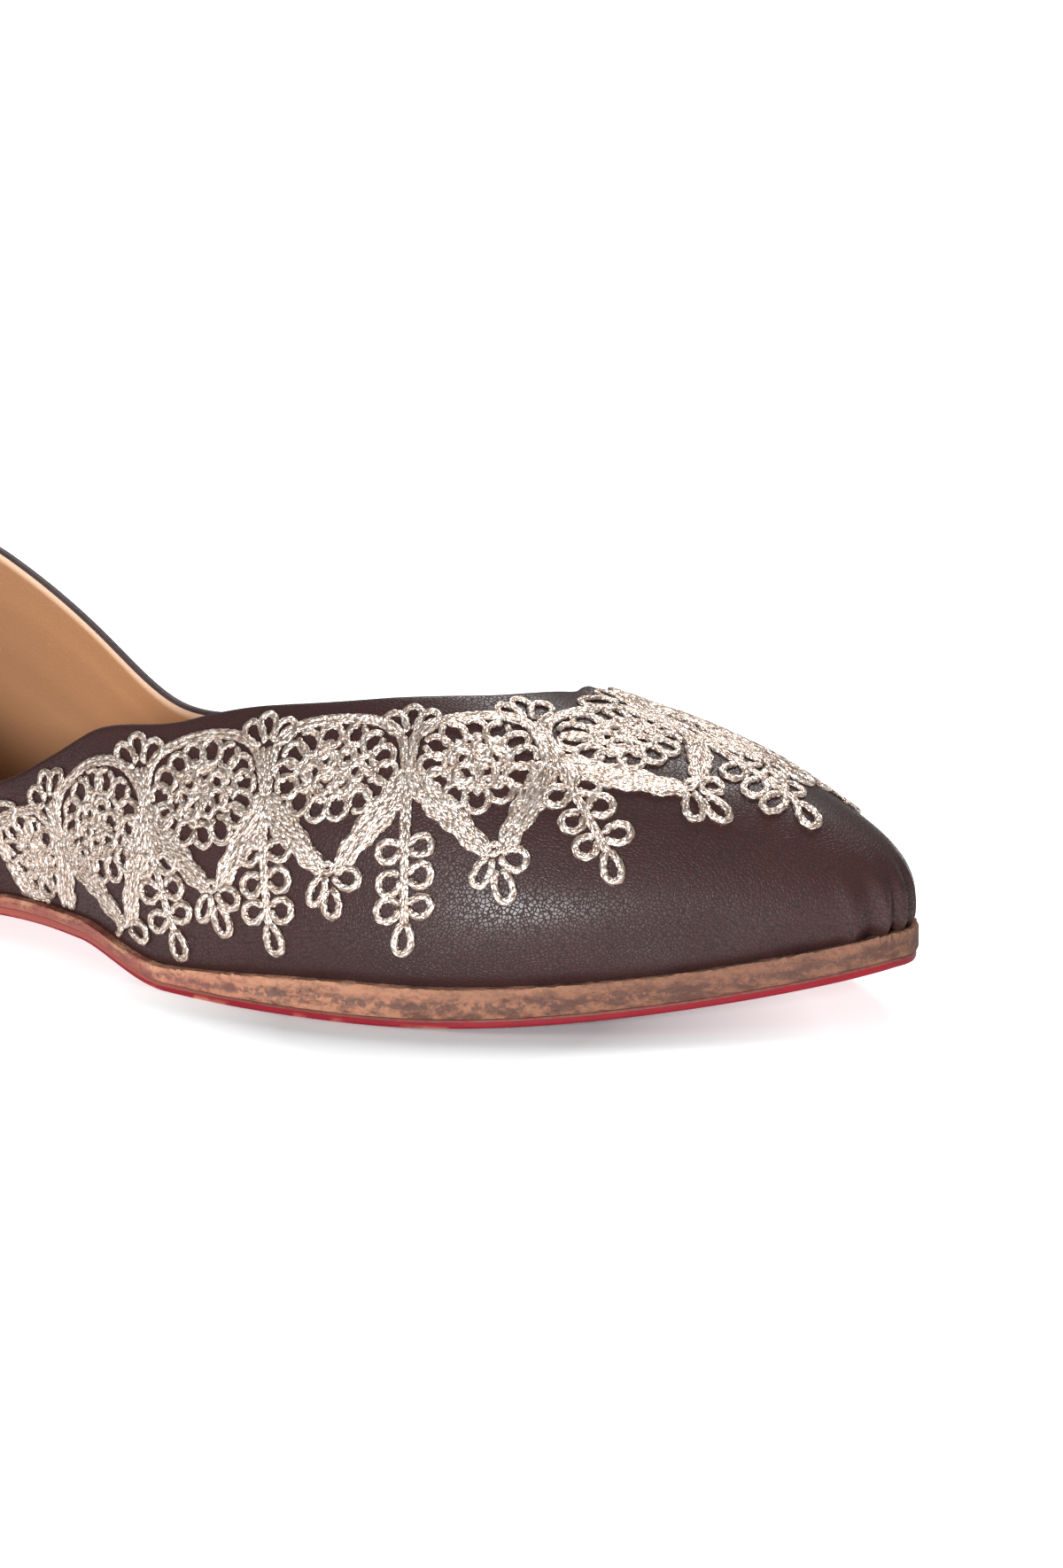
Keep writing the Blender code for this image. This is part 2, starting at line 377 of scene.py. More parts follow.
def wall_point(place, share):
    """Points of the upper's outer face: place counts sections round the shoe, share goes up from the sole."""
    place, share = np.broadcast_arrays(np.asarray(place, float), np.asarray(share, float))
    along, foot_y, top_along, top_y, rise, splay, lean, low, high = np.moveaxis(SECTION(place), -1, 0)
    foot = np.stack((to_x(along), foot_y, seat_height(along) + 0.1 * GAP), axis=-1)
    top = np.stack((to_x(top_along), top_y, seat_height(top_along) + rise + topline_sag(place)), axis=-1)
    reach = np.linalg.norm(top - foot, axis=-1)
    up = np.array((0.0, 0.0, 1.0))
    lower_way = np.sin(splay)[..., None] * outward(place, 0) + np.cos(splay)[..., None] * up
    upper_way = np.sin(lean)[..., None] * up - np.cos(lean)[..., None] * outward(place, 2)
    first = foot + (low * reach)[..., None] * lower_way
    second = top - (high * reach)[..., None] * upper_way
    share = share[..., None]
    rest = 1.0 - share
    return rest**3 * foot + 3 * rest**2 * share * first + 3 * rest * share**2 * second + share**3 * top


def wall_ways(place, share):
    """Unit vectors out of the upper's face and up along it."""
    step = 0.002
    share = np.clip(share, step, 1.0 - step)
    across = wall_point(place + step, share) - wall_point(place - step, share)
    upward = wall_point(place, share + step) - wall_point(place, share - step)
    return unit_vectors(np.cross(across, upward)), unit_vectors(upward)


def depth_table():
    """Wall heights along the face and shares at even parts of them, at places round the shoe."""
    places = np.linspace(0.0, ROUND, TABLE_ROWS * ROUND + 1)
    shares = np.linspace(1.0, 0.0, TABLE_COLUMNS)
    points = wall_point(places[:, None], shares[None, :])
    steps = np.linalg.norm(np.diff(points, axis=1), axis=2)
    runs = np.concatenate((np.zeros((len(places), 1)), np.cumsum(steps, axis=1)), axis=1)
    parts = np.linspace(0.0, 1.0, TABLE_COLUMNS)
    table = np.array([np.interp(parts, run / run[-1], shares) for run in runs])
    return runs[:, -1], table


WALL_HEIGHTS, SHARES_DOWN = depth_table()


def table_row(place):
    """The table's row before each place, and the share of the way to the next row."""
    row = (np.asarray(place, float) % ROUND) * TABLE_ROWS
    start = np.minimum(row.astype(int), len(WALL_HEIGHTS) - 2)
    return start, row - start


def wall_height(place):
    """Length of the face from the topline down to the sole."""
    start, part = table_row(place)
    return WALL_HEIGHTS[start] * (1 - part) + WALL_HEIGHTS[start + 1] * part


def share_at(place, depth):
    """Share up the wall at a depth below the topline, measured along the face."""
    start, part = table_row(place)
    column = np.clip(depth / wall_height(place), 0.0, 1.0) * (TABLE_COLUMNS - 1)
    left = np.minimum(column.astype(int), TABLE_COLUMNS - 2)
    over = column - left

    def across(line):
        return SHARES_DOWN[line, left] * (1 - over) + SHARES_DOWN[line, left + 1] * over

    return across(start) * (1 - part) + across(start + 1) * part


def relief(place, share):
    """Distance that the leather stands out of the smooth wall."""
    place = np.asarray(place, float) % ROUND
    height = 0.0 * place * share
    for middle, level, reach, tall, rise in CREASES:
        away = (place - middle + ROUND / 2) % ROUND - ROUND / 2
        height = height + rise * MM * bell(away, reach) * bell(share - level, tall)
    for middle, reach, rise in PLEATS:
        height = height + rise * MM * bell(place - middle, reach) * ease(1.0 - share / PLEAT_TOP)
    return height - SEAM_DEPTH * ease(1.0 - share / SEAM_TOP)


# Mesh helpers

def grid_form(across, up):
    """A flat grid of faces as a new mesh form, and the two step numbers of each of its vertices."""
    form = bmesh.new()
    bmesh.ops.create_grid(form, x_segments=across, y_segments=up, size=0.5)
    places = np.array([vertex.co[:2] for vertex in form.verts])
    columns = np.rint((places[:, 0] + 0.5) * across).astype(int)
    rows = np.rint((places[:, 1] + 0.5) * up).astype(int)
    return form, columns, rows


def place_vertices(form, points):
    """Moves every vertex of the form to its point."""
    for vertex, point in zip(form.verts, points.tolist()):
        vertex.co = point


def write_map(form, name, values):
    """Stores two values for each vertex as a UV map, before the seams are merged."""
    layer = form.loops.layers.uv.new(name)
    rows = values.tolist()
    for face in form.faces:
        for loop in face.loops:
            loop[layer].uv = rows[loop.vert.index]


def add_object(name, data):
    """A new object in the scene."""
    item = bpy.data.objects.new(name, data)
    bpy.context.scene.collection.objects.link(item)
    return item


def finish_piece(form, name, materials, nodes=(), crease=40):
    """Turns a form into the named piece with closed seams and outward faces, riding on the shoe's body."""
    bmesh.ops.remove_doubles(form, verts=form.verts, dist=MERGED)
    bmesh.ops.dissolve_degenerate(form, edges=form.edges, dist=SLIVER)
    bmesh.ops.recalc_face_normals(form, faces=form.faces)
    mesh = bpy.data.meshes.new(name)
    form.to_mesh(mesh)
    form.free()
    mesh.shade_smooth()
    mesh.set_sharp_from_angle(angle=radians(crease))
    for material in materials:
        mesh.materials.append(material)
    piece = add_object(name, mesh)
    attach(piece, "root")
    if nodes:
        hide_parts(*nodes)


# Material helpers

def feed(tree, node, links):
    """Sets or links a node's inputs, given by name or number; a colour of three values becomes opaque."""
    for key, value in dict(links).items():
        socket = node.inputs[key]
        if isinstance(value, bpy.types.NodeSocket):
            tree.links.new(value, socket)
        elif socket.type == "RGBA":
            socket.default_value = (*tuple(value)[:3], 1.0)
        else:
            socket.default_value = value


def add_node(tree, kind, links=(), **values):
    """A node with its properties set and its inputs fed."""
    node = tree.nodes.new(kind)
    for key, value in values.items():
        setattr(node, key, value)
    feed(tree, node, links)
    return node


def new_material(name):
    """A node material, its tree, its shader and the place in metres on the piece."""
    material = bpy.data.materials.new(name)
    material.use_nodes = True
    tree = material.node_tree
    place = add_node(tree, "ShaderNodeTexCoord").outputs["Object"]
    return material, tree, tree.nodes["Principled BSDF"], place


def math_node(tree, operation, first, second=0.0, third=0.0):
    """Output of one Math node."""
    return add_node(tree, "ShaderNodeMath", {0: first, 1: second, 2: third}, operation=operation).outputs[0]


def multiply(tree, first, second):
    """Product of two values."""
    return math_node(tree, "MULTIPLY", first, second)


def vector_math(tree, operation, first, second):
    """One Vector Math node."""
    return add_node(tree, "ShaderNodeVectorMath", {0: first, 1: second}, operation=operation)


def ramp(tree, value, low, high, start=0.0, end=1.0):
    """Output of a clamped Map Range node from low..high to start..end."""
    links = {"Value": value, "From Min": low, "From Max": high, "To Min": start, "To Max": end}
    return add_node(tree, "ShaderNodeMapRange", links, clamp=True).outputs["Result"]


def noise(tree, vector, scale, detail, roughness=0.5):
    """Value of a noise texture with its scale in waves for each unit of the vector."""
    links = {"Vector": vector, "Scale": scale, "Detail": detail, "Roughness": roughness}
    return add_node(tree, "ShaderNodeTexNoise", links).outputs[0]


def part_of(tree, vector, axis):
    """One value of a vector: X, Y or Z."""
    return add_node(tree, "ShaderNodeSeparateXYZ", {0: vector}).outputs[axis]


def uv_map(tree, name):
    """The values that write_map stored on the piece."""
    return add_node(tree, "ShaderNodeUVMap", uv_map=name).outputs["UV"]


def mix_colour(tree, share, first, second):
    """Colour output of one Mix node."""
    node = add_node(tree, "ShaderNodeMix", data_type="RGBA")
    colours = [number for number, socket in enumerate(node.inputs) if socket.type == "RGBA"]
    feed(tree, node, {0: share, colours[0]: first, colours[1]: second})
    return next(socket for socket in node.outputs if socket.type == "RGBA")


def dimmed(colour, factor):
    """A colour made darker by a factor."""
    return [factor * value for value in colour[:3]]


def bump(tree, height, strength, distance):
    """Normal output of one Bump node."""
    links = {"Height": height, "Strength": strength, "Distance": distance}
    return add_node(tree, "ShaderNodeBump", links).outputs["Normal"]


def new_group(name, inputs, outputs):
    """A node group with inputs as (name, kind, default), what they give, and the node for its outputs."""
    group = bpy.data.node_groups.new(name, "ShaderNodeTree")
    for title, kind, value in inputs:
        socket = group.interface.new_socket(name=title, in_out="INPUT", socket_type=kind)
        if value is not None:
            socket.default_value = value
    for title in outputs:
        group.interface.new_socket(name=title, in_out="OUTPUT", socket_type="NodeSocketFloat")
    return group, group.nodes.new("NodeGroupInput").outputs, group.nodes.new("NodeGroupOutput")


def pebble_group():
    """Leather grain: raised pebbles between fine creases, with a slow change of tone and gloss."""
    inputs = [("Vector", "NodeSocketVector", None), ("Cells per metre", "NodeSocketFloat", LINING_CELLS)]
    group, given, end = new_group("pebble_grain", inputs, ("Height", "Crease", "Mottle"))
    vector = given["Vector"]
    bend = add_node(group, "ShaderNodeTexNoise", {"Vector": vector, "Scale": 420.0, "Detail": 2.0})
    pull = vector_math(group, "MULTIPLY", bend.outputs["Color"], (0.6 * MM,) * 3).outputs[0]
    bent = vector_math(group, "ADD", vector, pull).outputs[0]
    links = {"Vector": bent, "Scale": given["Cells per metre"]}
    edges = add_node(group, "ShaderNodeTexVoronoi", links, feature="DISTANCE_TO_EDGE").outputs["Distance"]
    fine = noise(group, vector, 3800.0, 3.0)
    feed(group, end, {
        "Height": math_node(group, "MULTIPLY_ADD", fine, 0.12, ramp(group, edges, 0.0, 0.15)),
        "Crease": ramp(group, edges, 0.0, 0.14, 1.0, 0.0),
        "Mottle": noise(group, vector, 38.0, 5.0, 0.6),
    })
    return group


def fibre_group():
    """Raw cut leather: fibres drawn along the edge with pits and a soft change of tone."""
    inputs = [("Vector", "NodeSocketVector", None), ("Stretch", "NodeSocketVector", (1.0, 1.0, 1.0))]
    group, given, end = new_group("raw_fibres", inputs, ("Height", "Tone", "Pits"))
    drawn = vector_math(group, "MULTIPLY", given["Vector"], given["Stretch"]).outputs[0]
    pits = add_node(group, "ShaderNodeTexVoronoi", {"Vector": drawn, "Scale": 900.0}).outputs["Distance"]
    feed(group, end, {
        "Height": noise(group, drawn, 1500.0, 4.0, 0.65),
        "Tone": noise(group, drawn, 260.0, 4.0, 0.7),
        "Pits": ramp(group, pits, 0.05, 0.30, 1.0, 0.0),
    })
    return group


def grain_at(tree, place, cells):
    """Outputs of the leather grain with a number of pebbles for each metre."""
    group = bpy.data.node_groups.get("pebble_grain") or pebble_group()
    links = {"Vector": place, "Cells per metre": cells}
    return add_node(tree, "ShaderNodeGroup", links, node_tree=group).outputs


def fibres_at(tree, place, stretch):
    """Outputs of the raw fibres, drawn out where the stretch is small."""
    group = bpy.data.node_groups.get("raw_fibres") or fibre_group()
    return add_node(tree, "ShaderNodeGroup", {"Vector": place, "Stretch": stretch}, node_tree=group).outputs


# Materials

def leather_material(settings):
    """Pebbled dark leather, softly mottled, a little glossier on the pebbles than in the creases, and darker
    in the creases as painted shade.
    """
    material, tree, shader, place = new_material("upper_leather")
    grain = grain_at(tree, place, 1.0 / settings.cell)
    mottled = mix_colour(tree, ramp(tree, grain["Mottle"], *MOTTLE), settings.shadow, settings.colour)
    # Painted shade: the grain's creases are darkened towards a dim copy of the leather's shadow tone.
    creases = multiply(tree, grain["Crease"], 0.85)
    gloss = ramp(tree, grain["Crease"], 0.0, 1.0, settings.roughness + 0.06, settings.roughness + 0.46)
    feed(tree, shader, {
        "Base Color": mix_colour(tree, creases, mottled, dimmed(settings.shadow, 0.4)),
        "Roughness": math_node(tree, "MULTIPLY_ADD", grain["Mottle"], -0.12, gloss),
        "Specular IOR Level": settings.shine,
        "Normal": bump(tree, grain["Height"], settings.grain, settings.grain_depth),
    })
    return material


def lining_material(settings):
    """Smooth tan lining with soft bands that follow the topline, with painted shade in the bands' troughs,
    low down and towards the heel.
    """
    material, tree, shader, place = new_material("lining_tan")
    tan = settings.lining
    run = uv_map(tree, "wall")
    depth = part_of(tree, run, "Y")
    drawn = add_node(tree, "ShaderNodeMapping", {"Vector": run, "Scale": (9.0, 150.0, 1.0)}).outputs[0]
    bands = noise(tree, drawn, 1.0, 2.0)
    # Painted shade: the bands are darker where their bump is low, in the troughs of the soft creases.
    painted_trough_shade = mix_colour(tree, ramp(tree, bands, *MOTTLE), dimmed(tan, 0.84), tan)
    # Painted shade: the lining is darker low down the wall, deep inside the shoe.
    painted_deep_shade = mix_colour(tree, ramp(tree, depth, *LINING_DEPTHS), painted_trough_shade, dimmed(tan, 0.60))
    # Painted shade: the lining is darker towards the heel, inside the shoe.
    back = ramp(tree, part_of(tree, place, "X"), *LINING_DARKENS, 0.9, 0.0)
    wear_and_painted_shade = mix_colour(tree, back, painted_deep_shade, dimmed(tan, 0.55))
    pebbles = multiply(tree, grain_at(tree, place, LINING_CELLS)["Height"], 0.25)
    feed(tree, shader, {
        "Base Color": mix_colour(tree, ramp(tree, depth, *PALE_LINE, 0.7, 0.0), wear_and_painted_shade, settings.lining_edge),
        "Roughness": 0.46,
        "Specular IOR Level": 0.4,
        "Normal": bump(tree, math_node(tree, "MULTIPLY_ADD", bands, 1.6, pebbles), 0.25, 0.4 * MM),
    })
    return material


def sock_material(settings):
    """Smooth tan leather with a fine grain."""
    material, tree, shader, place = new_material("sock_leather")
    grain = grain_at(tree, place, LINING_CELLS)
    tone = ramp(tree, grain["Mottle"], *MOTTLE)
    feed(tree, shader, {
        "Base Color": mix_colour(tree, tone, dimmed(settings.lining, 0.82), settings.lining),
        "Roughness": 0.5,
        "Specular IOR Level": 0.4,
        "Normal": bump(tree, grain["Height"], 0.2, 0.2 * MM),
    })
    return material


def cut_edge_material(settings):
    """Dark painted cut edge along the topline."""
    material, tree, shader, place = new_material("cut_edge")
    fibres = fibres_at(tree, place, (1.0, 1.0, 1.0))
    tone = ramp(tree, fibres["Tone"], *MOTTLE)
    feed(tree, shader, {
        "Base Color": mix_colour(tree, tone, dimmed(settings.shadow, 0.6), settings.colour),
        "Roughness": 0.62,
        "Normal": bump(tree, fibres["Height"], 0.5, 0.2 * MM),
    })
    return material


def sole_edge_material(settings):
    """Raw brown leather edge: light and fuzzy along the top, specked in the middle, stained at the waist."""
    material, tree, shader, place = new_material("sole_edge")
    dark = settings.edge_dark
    level = part_of(tree, uv_map(tree, "edge"), "Y")
    along = part_of(tree, place, "X")
    fibres = fibres_at(tree, place, (0.9, 0.9, 2.4))
    speckle = noise(tree, place, 900.0, 5.0, 0.75)
    body = mix_colour(tree, ramp(tree, fibres["Tone"], 0.42, 0.57), dark, settings.edge)
    off_middle = math_node(tree, "ABSOLUTE", math_node(tree, "ADD", level, -0.42))
    band = ramp(tree, off_middle, 0.10, 0.42, 1.0, 0.0)
    greyed = multiply(tree, band, ramp(tree, speckle, 0.46, 0.54, 0.0, 0.85))
    body = mix_colour(tree, greyed, body, settings.edge_grey)
    rim = math_node(tree, "ADD", level, math_node(tree, "MULTIPLY_ADD", speckle, 1.2, -0.60))
    body = mix_colour(tree, ramp(tree, rim, 0.62, 1.05, 0.0, 0.8), body, settings.edge_light)
    body = mix_colour(tree, multiply(tree, fibres["Pits"], 0.35), body, dimmed(dark, 0.35))
    body = mix_colour(tree, ramp(tree, along, *EDGE_DARKENS, 0.0, 0.70), body, dimmed(dark, 0.55))
    waist = multiply(tree, ramp(tree, along, *STAIN_STARTS), ramp(tree, along, *STAIN_ENDS, 1.0, 0.0))
    patches = math_node(tree, "MULTIPLY_ADD", level, -0.15, noise(tree, place, 190.0, 4.0))
    stained = multiply(tree, multiply(tree, waist, ramp(tree, patches, 0.20, 0.42)), 0.85)
    feed(tree, shader, {
        "Base Color": mix_colour(tree, stained, body, settings.stain),
        "Roughness": ramp(tree, stained, 0.0, 1.0, 0.88, 0.52),
        "Specular IOR Level": 0.3,
        "Normal": bump(tree, speckle, 1.0, 0.6 * MM),
    })
    return material


def painted_sole_material(settings):
    """Crimson painted leather, scuffed where it meets the floor, with a bare ragged line above the paint."""
    material, tree, shader, place = new_material("crimson_sole")
    dark = settings.edge_dark
    along = part_of(tree, place, "X")
    fibres = fibres_at(tree, place, (0.5, 0.5, 1.0))
    tone = ramp(tree, fibres["Tone"], *STREAKS)
    low = ramp(tree, part_of(tree, place, "Z"), *SCUFFS, 1.0, 0.0)
    wear_and_painted_shade = multiply(tree, low, ramp(tree, noise(tree, place, 160.0, 6.0), 0.52, 0.62))
    paint = mix_colour(tree, tone, dimmed(settings.paint, 0.78), settings.paint)
    scuffed = mix_colour(tree, multiply(tree, wear_and_painted_shade, 0.6), paint, settings.edge)
    bare = mix_colour(tree, tone, dimmed(dark, 0.8), dark)
    bare = mix_colour(tree, ramp(tree, along, *BARE_LINE_CLEARS, 1.0, 0.0), bare, settings.stain)
    level = part_of(tree, uv_map(tree, "edge"), "Y")
    ragged = math_node(tree, "MULTIPLY_ADD", fibres["Height"], 0.24, level)
    line = math_node(tree, "SUBTRACT", ragged, ramp(tree, along, *PAINT_DROPS, 0.14, 1.10))
    feed(tree, shader, {
        "Base Color": mix_colour(tree, ramp(tree, line, -0.04, 0.04), scuffed, bare),
        "Roughness": ramp(tree, wear_and_painted_shade, 0.0, 1.0, 0.55, 0.8),
        "Specular IOR Level": 0.12,
        "Normal": bump(tree, fibres["Height"], 0.35, 0.2 * MM),
    })
    return material


def heel_material(settings):
    """Stacked leather lifts with streaky fibres and dark lines between them."""
    material, tree, shader, place = new_material("stacked_heel")
    dark = settings.edge_dark
    fibres = fibres_at(tree, place, (0.4, 0.4, 2.0))
    lift = math_node(tree, "FRACT", multiply(tree, part_of(tree, place, "Z"), 1.0 / settings.lift))
    line = ramp(tree, math_node(tree, "ABSOLUTE", math_node(tree, "SUBTRACT", lift, 0.5)), 0.43, 0.5)
    body = mix_colour(tree, ramp(tree, fibres["Tone"], *STREAKS), dark, settings.edge)
    feed(tree, shader, {
        "Base Color": mix_colour(tree, multiply(tree, line, 0.7), body, dimmed(dark, 0.25)),
        "Roughness": 0.6,
        "Normal": bump(tree, math_node(tree, "MULTIPLY_ADD", line, -1.5, fibres["Height"]), 0.6, 0.25 * MM),
    })
    return material


def thread_material(settings):
    """Champagne metal thread: crumpled foil that glints at random, with painted glints on random facets and
    painted shade in the grooves between them.
    """
    material, tree, shader, place = new_material("metal_thread")
    run = uv_map(tree, "thread")
    side = math_node(tree, "ABSOLUTE", math_node(tree, "SUBTRACT", part_of(tree, run, "Y"), 0.5))
    sweep = math_node(tree, "MULTIPLY_ADD", side, -3.2, part_of(tree, run, "X"))
    strands = math_node(tree, "SINE", multiply(tree, sweep, 2 * pi))
    stretched = add_node(tree, "ShaderNodeMapping", {"Vector": run, "Scale": settings.crumple}).outputs[0]
    facets = add_node(tree, "ShaderNodeTexVoronoi", {"Vector": stretched, "Scale": 1.0}).outputs
    edge, shade = facets["Distance"], part_of(tree, facets["Color"], "X")
    fine = noise(tree, place, 3600.0, 2.0)
    dents = math_node(tree, "MULTIPLY_ADD", edge, -1.6, multiply(tree, strands, 0.12))
    tilts = math_node(tree, "MULTIPLY_ADD", shade, 0.7, multiply(tree, fine, 0.4))
    # Painted glints: random facets of the foil are given the bright colour.
    pale = mix_colour(tree, ramp(tree, shade, 0.30, 0.80), settings.colour, settings.bright)
    # Painted shade: the grooves between the facets are darkened to brown.
    painted_groove_shade = ramp(tree, math_node(tree, "MULTIPLY_ADD", strands, -0.10, edge), 0.34, 0.74, 0.0, 0.8)
    feed(tree, shader, {
        "Base Color": mix_colour(tree, painted_groove_shade, pale, settings.shadow),
        "Metallic": 0.85,
        "Roughness": ramp(tree, fine, 0.3, 0.7, settings.roughness - 0.08, settings.roughness + 0.12),
        "Normal": bump(tree, math_node(tree, "ADD", dents, tilts), settings.glint, 0.2 * MM),
    })
    return material


def floor_material(settings):
    """Plain pale floor that gives a little light of its own, a painted light that is least round the ball,
    lighter under the toe so that the shade there washes out, and most far away.
    """
    material, tree, shader, place = new_material("pale_floor")
    away = vector_math(tree, "DISTANCE", place, SHADE_MIDDLE).outputs["Value"]
    # Painted light: the floor's glow is least round the ball, rises to 0.6 by the toe, is held to half
    # towards the heel, and is full far away.
    near = ramp(tree, away, 0.022, 0.055, settings.glow, 0.60)
    shaded = math_node(tree, "MINIMUM", near, ramp(tree, part_of(tree, place, "X"), 0.02, 0.09, 0.5, 1.0))
    glow = math_node(tree, "MAXIMUM", shaded, ramp(tree, away, 0.28, 0.90))
    tone = noise(tree, place, 2.0, 2.0)
    feed(tree, shader, {
        "Base Color": mix_colour(tree, tone, dimmed(settings.floor, 0.985), settings.floor),
        "Roughness": 0.9,
        "Specular IOR Level": 0.1,
        "Emission Color": mix_colour(tree, glow, (0.0, 0.0, 0.0), (1.0, 1.0, 1.0)),
        "Emission Strength": 1.0,
    })
    return material


# The upper and the sole

def make_upper(settings):
    """The leather upper: outer face, rolled rim and lining in one closed wall."""
    up = OUTER_STEPS + RIM_STEPS + INNER_STEPS + 1
    form, columns, rows = grid_form(ROUND_STEPS, up)
    place = columns / ROUND_STEPS * ROUND
    past_rim = rows - OUTER_STEPS - RIM_STEPS
    outer = (rows <= OUTER_STEPS) | (rows == up)
    turn = np.clip((rows - OUTER_STEPS) / RIM_STEPS, 0.0, 1.0) * pi
    share = np.where(rows <= OUTER_STEPS, rows / OUTER_STEPS, 1.0)
    share = np.where(past_rim > 0, np.clip(1.0 - past_rim / INNER_STEPS, 0.0, 1.0), share)
    base = wall_point(place, share)
    out, upward = wall_ways(place, share)
    round_rim = np.cos(turn)[:, None] * out + np.sin(turn)[:, None] * upward
    points = np.where(outer[:, None], base, base - 0.5 * WALL * out + 0.5 * WALL * round_rim)
    lifted = relief(place, share) * np.where(outer, 1.0, LINING_RELIEF)
    points = points + lifted[:, None] * out
    points[:, 2] += THROAT_LIFT * bell(place - THROAT_PLACE, THROAT_REACH) * ease((share - 0.93) / 0.07)
    place_vertices(form, points)
    depth = wall_height(place) * (1.0 - share)
    write_map(form, "wall", np.stack((columns / ROUND_STEPS * MAP_WIDTH, depth), axis=1))
    row_of = {vertex.index: row for vertex, row in zip(form.verts, rows.tolist())}
    for face in form.faces:
        level = (sum(row_of[vertex.index] for vertex in face.verts) / 4 - OUTER_STEPS) / RIM_STEPS
        face.material_index = int(level > CUT_EDGE_FROM) + int(level > LINING_FROM)
    materials = [leather_material(settings), cut_edge_material(settings), lining_material(settings)]
    finish_piece(form, "upper_leather", materials, ("upper",), crease=60)


def make_slab(name, outline, top, bottom, material, node, fuzz=0.0, dish=0.0):
    """A layer of the sole between two heights, closed over a spine down the middle of its outline."""
    steps = len(outline)
    back, front = outline[:, 0].min(), outline[:, 0].max()
    inset = SPINE_INSET * (front - back)
    spine = 0.5 * (outline + np.roll(outline[::-1], 1, axis=0))
    spine[:, 0] = np.clip(spine[:, 0], back + inset, front - inset)
    edge_start = CROSS_STEPS + ROUND_ROWS
    edge_end = edge_start + EDGE_STEPS
    up = edge_end + edge_start
    form, columns, rows = grid_form(steps, up)
    index = columns % steps
    on_edge = (rows >= edge_start) & (rows <= edge_end)
    share = np.clip((rows - edge_start) / EDGE_STEPS, 0.0, 1.0)
    cap = np.where(rows < edge_start, rows, up - rows)
    reach = np.where(on_edge, 1.0, np.clip(cap / CROSS_STEPS, 0.0, 1.0))
    rounding = np.where(on_edge, 1.0, np.clip((cap - CROSS_STEPS) / ROUND_ROWS, 0.0, 1.0))
    inward = unit_vectors(spine - outline)[index]
    rim = outline[index] + inward * (ROUND_EDGE * (1.0 - np.sin(rounding * pi / 2)))[:, None]
    inner_rim = outline[index] + inward * ROUND_EDGE
    flat = spine[index] * (1.0 - reach)[:, None] + inner_rim * reach[:, None]
    plan = np.where((rounding > 0)[:, None], rim, flat)
    along = np.where(rounding > 0, to_along(outline[index][:, 0]), to_along(plan[:, 0]))
    drop = ROUND_EDGE * (1.0 - np.cos(rounding * pi / 2))
    level = (top(along) - drop) * (1.0 - share) + (bottom(along) + drop) * share
    if fuzz:
        # Bites share part of their size with their neighbours, and a slow wave runs round
        ragged = np.random.default_rng(FUZZ_SEED).uniform(-1.0, 1.0, steps)
        ragged = 0.6 * ragged + 0.4 * np.roll(ragged, 1) + 0.7 * np.sin(np.arange(steps) * 0.19)
        bite = fuzz * ragged[index] * ease(1.0 - share * 3.0) * (rounding > 0)
        plan = plan - 0.6 * inward * bite[:, None]
        level = level + 0.8 * bite
    if dish:
        level = level - dish * ease(1.0 - reach) * (rows < edge_start)
    place_vertices(form, np.column_stack((plan, level)))
    write_map(form, "edge", np.stack((columns / steps * MAP_WIDTH, 1.0 - share), axis=1))
    finish_piece(form, name, [material], (node,))


def sole_outline(margin):
    """The feather line pushed outward by a margin, in plan, as even places round the shoe."""
    place = np.arange(SLAB_STEPS) / SLAB_STEPS * ROUND
    section = SECTION(place)
    plan = np.stack((to_x(section[:, 0]), section[:, 1]), axis=-1)
    return plan + margin * outward(place, 0)[:, :2]


def heel_outline(margin):
    """The heel's outline: the back of the sole, closed by a straight breast."""
    line = sole_outline(margin)
    front = to_x(HEEL_FRONT)
    ahead = np.flatnonzero(line[:, 0] > front)
    first, last = ahead[0] - 1, ahead[-1] + 1
    span = np.arange(last - first + 1) / (last - first)
    closed = line.copy()
    closed[first:last + 1, 0] = front
    closed[first:last + 1, 1] = line[first, 1] * (1 - span) + line[last % SLAB_STEPS, 1] * span
    return closed


def make_sole(settings):
    """Midsole with its raw edge, crimson outsole, and the plain stacked heel."""
    edge = sole_edge_material(settings)
    make_slab(
        "midsole_edge", sole_outline(SOLE_MARGIN), seat_height,
        lambda along: tread_height(along) + OUTSOLE - 0.1 * GAP, edge, "midsole", fuzz=EDGE_FUZZ,
    )
    make_slab(
        "outsole_crimson", sole_outline(SOLE_MARGIN - OUTSOLE_INSET),
        lambda along: tread_height(along) + OUTSOLE, tread_height, painted_sole_material(settings), "outsole",
    )
    make_slab(
        "heel_stack", heel_outline(SOLE_MARGIN - HEEL_INSET), lambda along: tread_height(along) - 0.2 * GAP,
        lambda along: 0.0 * along, heel_material(settings), "heel",
    )


def make_sock(settings):
    """The tan sock over the insole, hollowed a little along its middle."""
    make_slab(
        "sock_tan", sole_outline(-(WALL + INSOLE_GAP)), lambda along: seat_height(along) + GAP + INSOLE,
        lambda along: seat_height(along) + GAP, sock_material(settings), "insole", dish=SOCK_DISH,
    )


# The band's chart, in metres beside a stem or the middle of a unit

def stem_value(unit, column):
    """A column of the stems' table at any unit, on a smooth curve through the stems."""
    values = STEM_TABLE[:, column]
    place = np.clip(np.asarray(unit, float) - STEM_TABLE[0, 0], 0.0, len(values) - 1.0)
    start = np.minimum(place.astype(int), len(values) - 2)
    slopes = np.gradient(values)
    return between_knots(place - start, values[start], slopes[start], values[start + 1], slopes[start + 1])


def chart_place(unit, depth):
    """Section number of a place in the chart."""
    top, low = stem_value(unit, 1), stem_value(unit, 2)
    return top + (low - top) * depth / STEM_DEPTH


